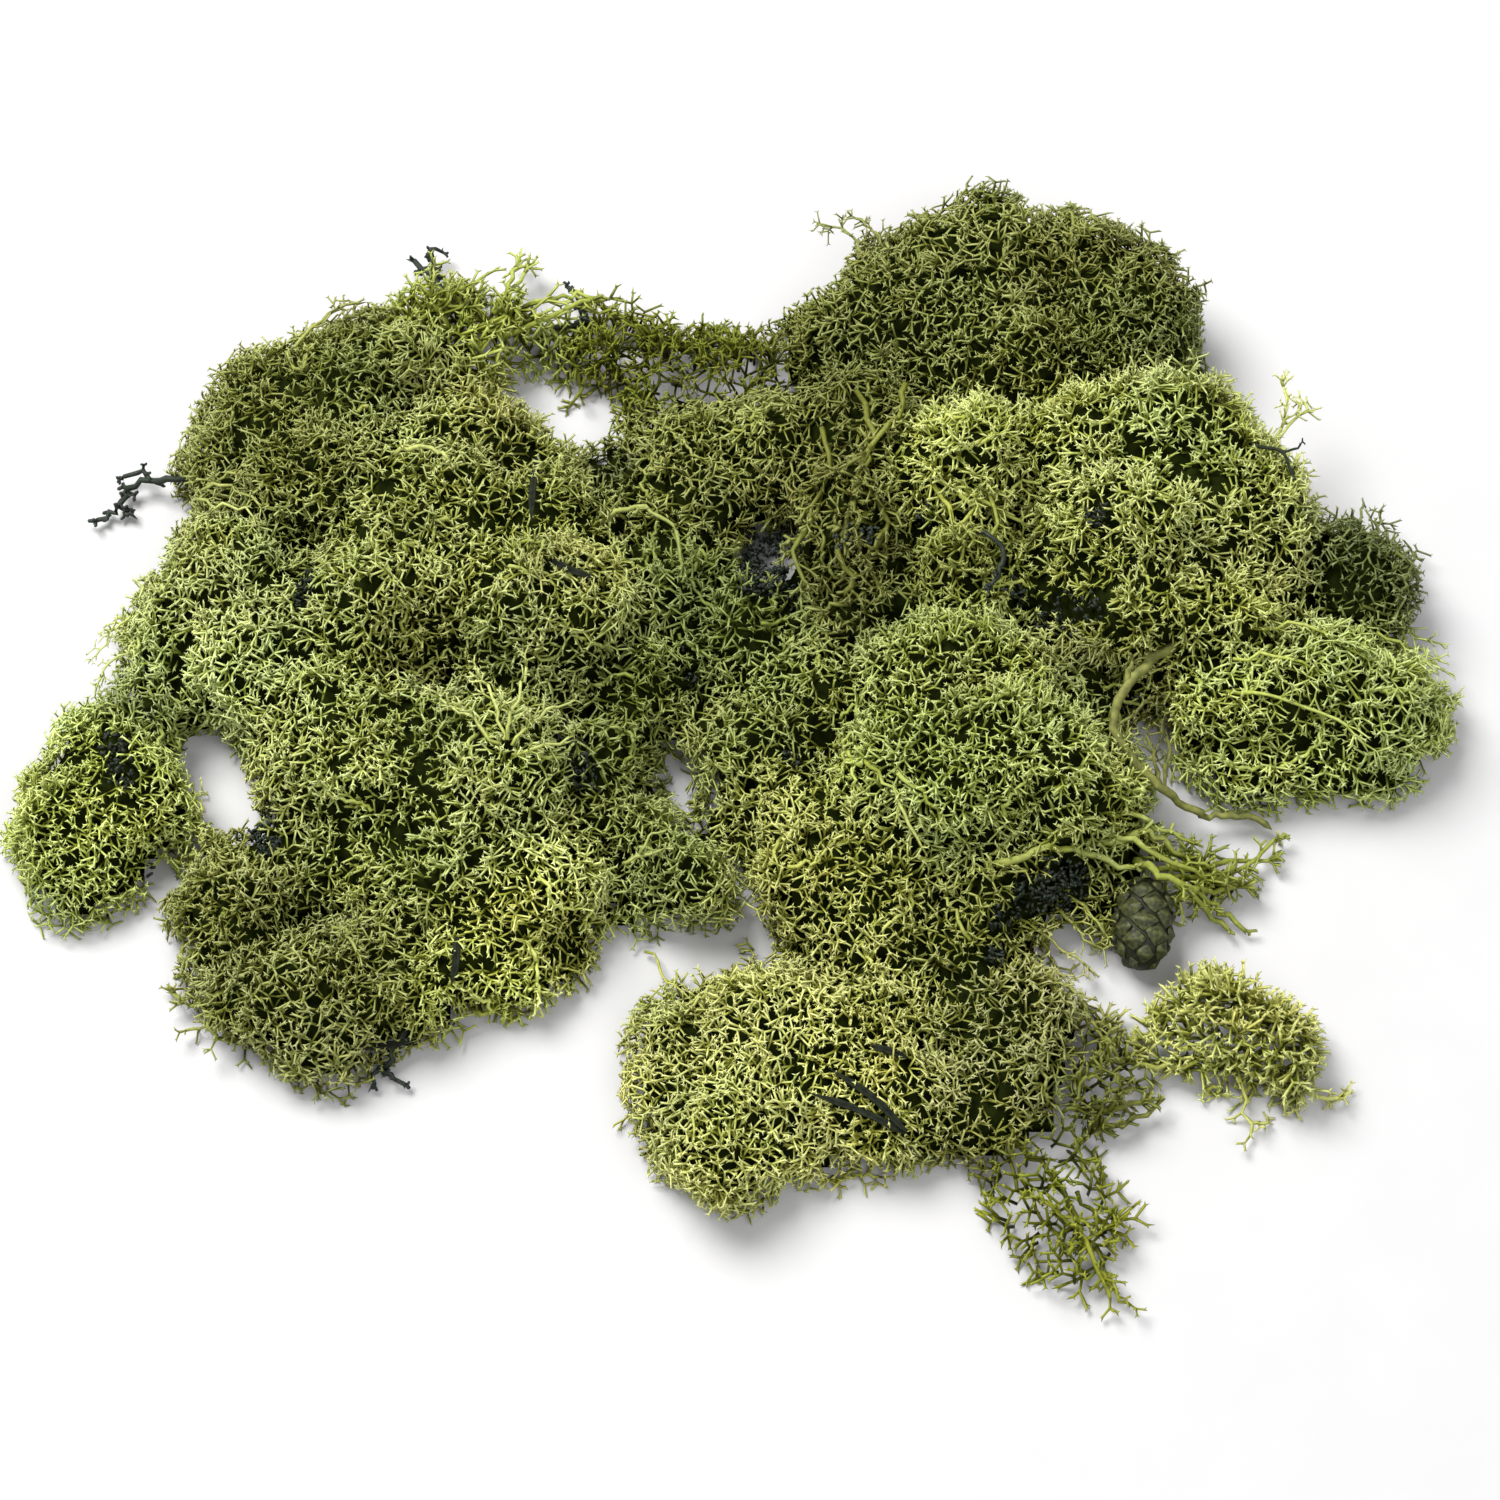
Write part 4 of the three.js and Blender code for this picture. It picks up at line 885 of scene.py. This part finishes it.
def dull(name, light, dark, scale, roughness=0.7, gloss=0.3):
    """A mottled colour that is darker where the point value "tone" is low, which paints shade."""
    material, tree, base = new_material(name, roughness, gloss)
    colour = ramp(tree, noise(tree, scale, 4.0), [(0.3, linear(dark)), (0.7, linear(light))])
    shade = ramp(tree, attribute(tree, "tone"), [(0.0, LOW_TONE), (0.7, WHITE)])
    tree.links.new(multiply(tree, colour, shade), base)
    return material


LICHEN = lichen("lichen")
# the dark cores' material: painted shade under the heads
SHADE = dull("deep_shade", "384217", "1a200f", 300, 1.0, 0.0)

# ---- The cushions ----

PATCH_PASSES, RISE_PASSES, SWAY_PASSES = 40, 14, 30  # of blur
SWAY, LEAN_STRAY = 0.3, 0.22  # of the heads, together and each on its own
TIP_OUT, TIP_RISE = 2.6 * MM, 1.1 * MM  # of the tips over the surface, and how it varies
HEAD_REACH = 0.84  # of a head's length, from its root to its tips
LOWEST_ROOT = 1 * MM
PATCH_TINT, TINT_STRAY = 0.16, 0.14
ROSETTE = 8 * MM  # between the middles of the rosettes that heads fan out in
ROSETTE_HALF = 0.6  # half the width of a rosette, over that distance
ROSETTE_RISE = 2.2 * MM  # of their middles over their edges
STEM_TINT = 0.72

heap = Heap()
seeds, axes, owners = scatter()
shape = heap.owner.shape
patches, rises = soft_noise(shape, PATCH_PASSES), soft_noise(shape, RISE_PASSES)
sway = [soft_noise(shape, SWAY_PASSES), soft_noise(shape, SWAY_PASSES), np.zeros(shape)]
sway = np.stack(sway, axis=-1)


def rosettes(places):
    """From the nearest middle of a rosette to each place, over the rosettes' half width."""
    middles = []
    for place in places:
        if not middles or np.linalg.norm(np.array(middles) - place, axis=1).min() > ROSETTE:
            middles.append(place)
    middles = np.array(middles)
    nearest = np.linalg.norm(places[:, None] - middles[None], axis=2).argmin(axis=1)
    return (places - middles[nearest]) / (ROSETTE * ROSETTE_HALF)


def cushion_stems(thicket, name, kind, places):
    """Stems that wander over a cushion, and its stems from the table."""
    if kind["stems"]:
        chosen = rng.choice(len(places), kind["stems"], replace=False)
        headings = unit(np.array(kind["lean"]) * 2 + rng.normal(0, 0.7, (len(chosen), 3)))
        paths = crawl(places[chosen], headings)
        add_stems(thicket, paths, WANDER_WIDTHS, WANDER_TINT, *WANDER_SPROUTS)
    for widths, sprouts, length, path in STEMS.get(name, ()):
        stray = rng.normal(0, 1, (len(path), 2)) * kind["stray"] * MM
        path = path + np.pad(stray, ((0, 0), (0, 1)))
        stem = widths * MM, STEM_TINT, sprouts, length * MM, kind["stem_tone"]
        add_stems(thicket, path[None], *stem, crinkle=0.5 * MM)


def build_cushion(index, name, kind):
    mine, out = seeds[owners == index], axes[owners == index]
    count = len(mine)
    column = heap.column(mine)
    lengths = kind["length"] * MM * rng.uniform(0.85, 1.2, count)
    stray = rng.normal(0, LEAN_STRAY, out.shape)
    aim = unit(out + np.array(kind["lean"]) + SWAY * sway[column] + stray)
    fan = rosettes(mine)
    aim = unit(aim + kind["fan"] * fan)
    lift = TIP_OUT + np.clip(rises[column], -1.5, 1.5) * TIP_RISE
    lift += ROSETTE_RISE * kind["fan"] * (0.5 - np.minimum((fan**2).sum(axis=1), 1.2))
    roots = mine + out * lift[:, None] - aim * (lengths * HEAD_REACH)[:, None]
    roots[:, 2] = np.maximum(roots[:, 2], LOWEST_ROOT)
    tints = MIDDLE_TINT + PATCH_TINT * patches[column] + rng.normal(0, TINT_STRAY, count)
    thicket = Thicket()
    cushion_stems(thicket, name, kind, mine)
    tubes = grow_heads(roots, aim, lengths, kind["mat"])
    thicket.add_heads(tubes, kind["thick"], np.clip(tints, 0, 1), cored=kind["core"])
    core = core_mesh(index) if kind["core"] else None
    if core:
        thicket.add(*core, CORE_TONE)
    piece = thicket.to_object("branches_" + name, LICHEN, table_shade=kind["core"])
    piece.data.materials.append(SHADE)
    slots = np.zeros(len(piece.data.polygons), np.int32)
    if core:
        slots[-len(core[1]) :] = 1
    piece.data.polygons.foreach_set("material_index", slots)
    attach(piece, "root")
    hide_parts(name)


for index, (name, kind) in enumerate(LOOKS.items()):
    build_cushion(index, name, kind)

# ---- Stalk, scraps and crumbs ----

SCRAP_WIDTHS, SCRAP_SPROUTS = (1.3, 1.5), 0.8  # against the table's
CRUMB_COUNT = 2.2e6  # in a patch, over the square of its reach in metres
CRUMB_REACH, CRUMB_DEPTHS = 0.8, (-1.8, 3)  # share of a patch's reach, and depths in mm
LOWEST_CRUMB = 4 * MM  # of the surface that they lie in
# a gap that the crumbs fill: its place, its reach and its least height
CENTRE_GAP, GAP_REACH, GAP_LEVEL = np.array([5, 58]) * MM + HEAP_SHIFT[:2], 9 * MM, 7 * MM

STALK = dull("stalk", "7e8040", "4c5024", 420)
NEEDLE = dull("needle", "262b1f", "12150f", 700, 0.8, 0.1)
CONE = dull("cone", "555a30", "10130a", 900, 0.6, 0.3)
DARK = lichen("dark_scraps", "2d3532")


def place_piece(thicket, name, material, slot, *nodes):
    piece = thicket.to_object(name, material, shaded=material == DARK)
    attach(piece, "root")
    if nodes:
        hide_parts(*nodes)


stalk = Thicket()
for widths, sprouts, length, path in STEMS["long_stalk"]:
    add_stems(stalk, path[None], widths * MM, 0.9, sprouts, length * MM, tone=0.8, sides=8)
place_piece(stalk, "stalk", STALK, "lichen_ochre", "long_stalk")

for node, stems in SCRAPS.items():
    scrap = Thicket()
    for widths, sprouts, length, path in stems:
        stem = widths * SCRAP_WIDTHS * MM, MIDDLE_TINT, sprouts, length * SCRAP_SPROUTS * MM
        add_stems(scrap, path[None], *stem, spread=1.3, crinkle=0.6 * MM)
    place_piece(scrap, "twigs_" + node, DARK, "dark_scrap", node)

crumbs = Thicket()
# crumbs in the dark patches and in the hollows; in the hollows their dark colour also stands as
# painted shade
for x, y, reach in np.vstack([DARK_PATCHES, HOLLOWS]):
    count = int(reach**2 * CRUMB_COUNT)
    spots = rng.uniform(-reach, reach, (count, 2)) * CRUMB_REACH + (x, y)
    depth = rng.uniform(*CRUMB_DEPTHS, count) * MM
    level = heap.surface[heap.cell(spots)]
    if math.dist((x, y), CENTRE_GAP) < GAP_REACH:
        level = np.maximum(level, GAP_LEVEL)
    roots = np.column_stack([spots, level - depth])[level > LOWEST_CRUMB]
    if len(roots):
        aim = unit(rng.normal(0, 1, roots.shape) + [0, 0, 0.8])
        lengths = rng.uniform(3, 6, len(roots)) * MM
        heads = grow_heads(roots, aim, lengths, 0.6, 1.2, first_level=2)
        crumbs.add_heads(heads, 1.5, np.full(len(roots), MIDDLE_TINT))
place_piece(crumbs, "dark_crumbs", DARK, "dark_scrap")

# ---- Needles ----

BLADE_SIDES, BLADE_STEPS = 8, 4
BLADE_WIDTH = 1.9 * MM
BLADE_HEIGHT, GROOVE = 0.3, 0.26  # over half the width
NEEDLE_LIFT = 2.7 * MM  # above the heap's smoothed surface
# the places that each needle's blades run through
NEEDLES = """
needle_pair | 37 -102 21.5, 26 -97 23.5, 14 -93 24.5 | 37 -102 21.5, 29 -94 23.5, 19 -87 23.5
needle_arm | -54 77 32.5, -55 66 36.5, -55 54 39
needle_left_middle | -49 39 45, -44 37 43.5, -38 36 41
needle_front | 29 -82 23.5, 34 -83 22.5, 38 -84 20.5
needle_lower | -98 -76 18, -89 -76 18, -81 -74 17
needle_bright | -71 -53 23.5, -71 -59 23, -72 -65 21.5
"""


def add_blade(thicket, places):
    """A flat needle with a groove on top, that tapers to a point and lies on the branch ends."""
    level = heap.surface[heap.column(places)] + NEEDLE_LIFT
    places[:, 2] += (level - places[:, 2]).mean()
    spine = smooth(places[None], BLADE_STEPS)[0]
    along = unit(np.gradient(spine, axis=0))
    across = unit(np.cross([0, 0, 1.0], along))
    over = np.cross(along, across)
    share = np.linspace(0, 1, len(spine))
    widths = BLADE_WIDTH / 2 * np.minimum(1, np.minimum(0.45 + share * 4, (1.02 - share) * 3.5))
    angles = round_angles(BLADE_SIDES)
    groove = np.arange(BLADE_SIDES) == BLADE_SIDES // 4
    flat = BLADE_HEIGHT * np.sin(angles) - np.where(groove, GROOVE, 0)
    rings = across[:, None] * np.cos(angles)[:, None] + over[:, None] * flat[:, None]
    points = (spine[:, None] + widths[:, None, None] * rings).reshape(-1, 3)
    # painted shade in the groove, lighter on the rest of the blade
    tones = np.tile(np.where(groove, 0.35, 0.8), len(spine))
    thicket.add(points, tube_faces(len(spine), BLADE_SIDES), tones)


for line in NEEDLES.strip().splitlines():
    node, *blades = line.split(" | ")
    needle = Thicket()
    for blade in blades:
        add_blade(needle, table_points(blade))
    place_piece(needle, node + "_blades", NEEDLE, "dry_needle", node)

# ---- Cone ----

CONE_PLACE = np.array([97, -44, 8.0]) * MM + HEAP_SHIFT
CONE_LENGTH, CONE_RADIUS = 24 * MM, 7.8 * MM
CONE_HEADING, CONE_DIP = math.radians(-97), math.radians(-4)
# the body, seen between the scales, is painted shade
BODY_RINGS, BODY_SIDES, BODY_RADIUS, BODY_SHADE = 15, 16, 0.88, 0.02
SCALE_COUNT, SCALE_SIDES, SCALE_SIZE = 36, 12, 3.35 * MM
# painted shade, darkest at the scales' rims
SCALE_RINGS = ((1.0, 0.12), (0.9, 0.55), (0.62, 0.35), (0.3, 0.4))  # their size and tone
SCALE_ROUNDNESS = 1.15  # of a scale's outline: 1 is a diamond, 2 is round
# a painted highlight at a scale's top point, and painted shade at its root
SCALE_TOP, SCALE_ROOT = (0.34, 0.95), (-0.4, 0.05)  # height and tone
GOLDEN_TURN = math.pi * (3 - math.sqrt(5))


def cone_radius(t):
    return CONE_RADIUS * (1 - np.abs(2 * t - 1) ** 2.6) ** 0.55


def add_scale(thicket, centre, size, across, down, up):
    """A thick scale with a ridge across it, wider than it is long."""
    around = round_angles(SCALE_SIDES)
    power = SCALE_ROUNDNESS
    corner = (np.abs(np.cos(around)) ** power + np.abs(np.sin(around)) ** power) ** (-1 / power)
    plate, tones = [], []
    for ring, tone in SCALE_RINGS:
        u, v = corner * np.cos(around) * ring, corner * np.sin(around) * ring
        inner = ring < 1
        rise = -0.5 + 1.15 * (1 - ring**2.2) + 0.3 * np.exp(-((v / 0.16) ** 2)) * inner + 0.12 * v
        rise = (rise + rng.normal(0, 0.05, SCALE_SIDES)) * 0.32
        flat = across * u[:, None] * 1.1 + down * v[:, None] * 0.95
        plate.append(centre + size * (flat + up * rise[:, None]))
        # a painted highlight along the ridge
        tones.append(tone + 0.3 * np.exp(-((v / 0.2) ** 2)) * inner)
    for height, tone in (SCALE_TOP, SCALE_ROOT):
        plate.append((centre + up * size * height)[None])
        tones.append(np.array([tone]))
    rings = len(SCALE_RINGS)
    top = SCALE_SIDES * rings
    faces = band_faces(rings, SCALE_SIDES) + tip_faces(top - SCALE_SIDES, SCALE_SIDES, top)
    faces += [face[::-1] for face in tip_faces(0, SCALE_SIDES, top + 1)]
    thicket.add(np.vstack(plate), faces, np.concatenate(tones))


level = math.cos(CONE_DIP)
ahead = [math.cos(CONE_HEADING) * level, math.sin(CONE_HEADING) * level, math.sin(CONE_DIP)]
ahead = np.array(ahead)
first, second = (v[0] for v in sideways(ahead[None]))
ring = circles(first, second, BODY_SIDES)
body = [
    CONE_PLACE + ahead * (t - 0.5) * CONE_LENGTH + ring * (cone_radius(t) * BODY_RADIUS)
    for t in np.linspace(0.02, 0.98, BODY_RINGS)
]
cone = Thicket()
cone.add(np.vstack(body), tube_faces(BODY_RINGS, BODY_SIDES), BODY_SHADE)
for number in range(SCALE_COUNT):
    t = 0.03 + 0.95 * (number + 0.5) / SCALE_COUNT
    turn = number * GOLDEN_TURN
    rise = cone_radius(min(t + 0.03, 0.99)) - cone_radius(max(t - 0.03, 0.01))
    side = first * math.cos(turn) + second * math.sin(turn)
    down = unit(ahead + side * (rise / (0.06 * CONE_LENGTH)) * 0.9)
    across = np.cross(down, side)
    up = unit(np.cross(across, down))
    centre = CONE_PLACE + ahead * (t - 0.5) * CONE_LENGTH + side * cone_radius(t) * 0.9
    size = SCALE_SIZE * (0.45 + 0.55 * cone_radius(t) / CONE_RADIUS)
    add_scale(cone, centre, size, across, down, up)
place_piece(cone, "cone_scales", CONE, "cone_scales", "cone")

# ---- Floor, light and camera ----

LOOK_AT = Vector((5.4, -10.5, 15)) * MM
CAMERA_RISE = math.radians(65)
CAMERA_DISTANCE = 0.9
LENS = 86.4
PAPER = [(0.3, (0.467, 0.467, 0.478, 1)), (0.7, (0.478, 0.478, 0.488, 1))]

bpy.ops.mesh.primitive_plane_add(size=6, location=(0, 0, 0))
floor = bpy.context.object
floor.name = "floor"
material, tree, base = new_material("floor_paper", 0.9)
tree.links.new(ramp(tree, noise(tree, 40), PAPER), base)
floor.data.materials.append(material)


def area_light(name, place, size, power, colour=(1, 1, 1)):
    data = bpy.data.lights.new(name, "AREA")
    data.shape, data.size, data.energy, data.color = "DISK", size, power, colour
    lamp = add_object(name, data)
    lamp.location = place
    lamp.rotation_euler = (LOOK_AT - Vector(place)).to_track_quat("-Z", "Y").to_euler()


area_light("key", (-0.6, 0.55, 1.3), 0.9, 43, (1.0, 0.99, 0.96))
area_light("fill", (0.6, -0.9, 1.2), 1.2, 13)

world = bpy.data.worlds.new("studio")
bpy.context.scene.world = world
world.use_nodes = True
background = world.node_tree.nodes["Background"].inputs
background["Color"].default_value, background["Strength"].default_value = WHITE, 0.5
bpy.context.scene.view_settings.view_transform = "Standard"

camera_data = bpy.data.cameras.new("camera")
camera_data.lens, camera_data.sensor_width, camera_data.sensor_fit = LENS, 36, "HORIZONTAL"
camera_data.clip_start = 0.01
camera = add_object("camera", camera_data)
offset = Vector((0, -math.cos(CAMERA_RISE), math.sin(CAMERA_RISE))) * CAMERA_DISTANCE
camera.location = LOOK_AT + offset
camera.rotation_euler = (-offset).to_track_quat("-Z", "Y").to_euler()
bpy.context.scene.camera = camera
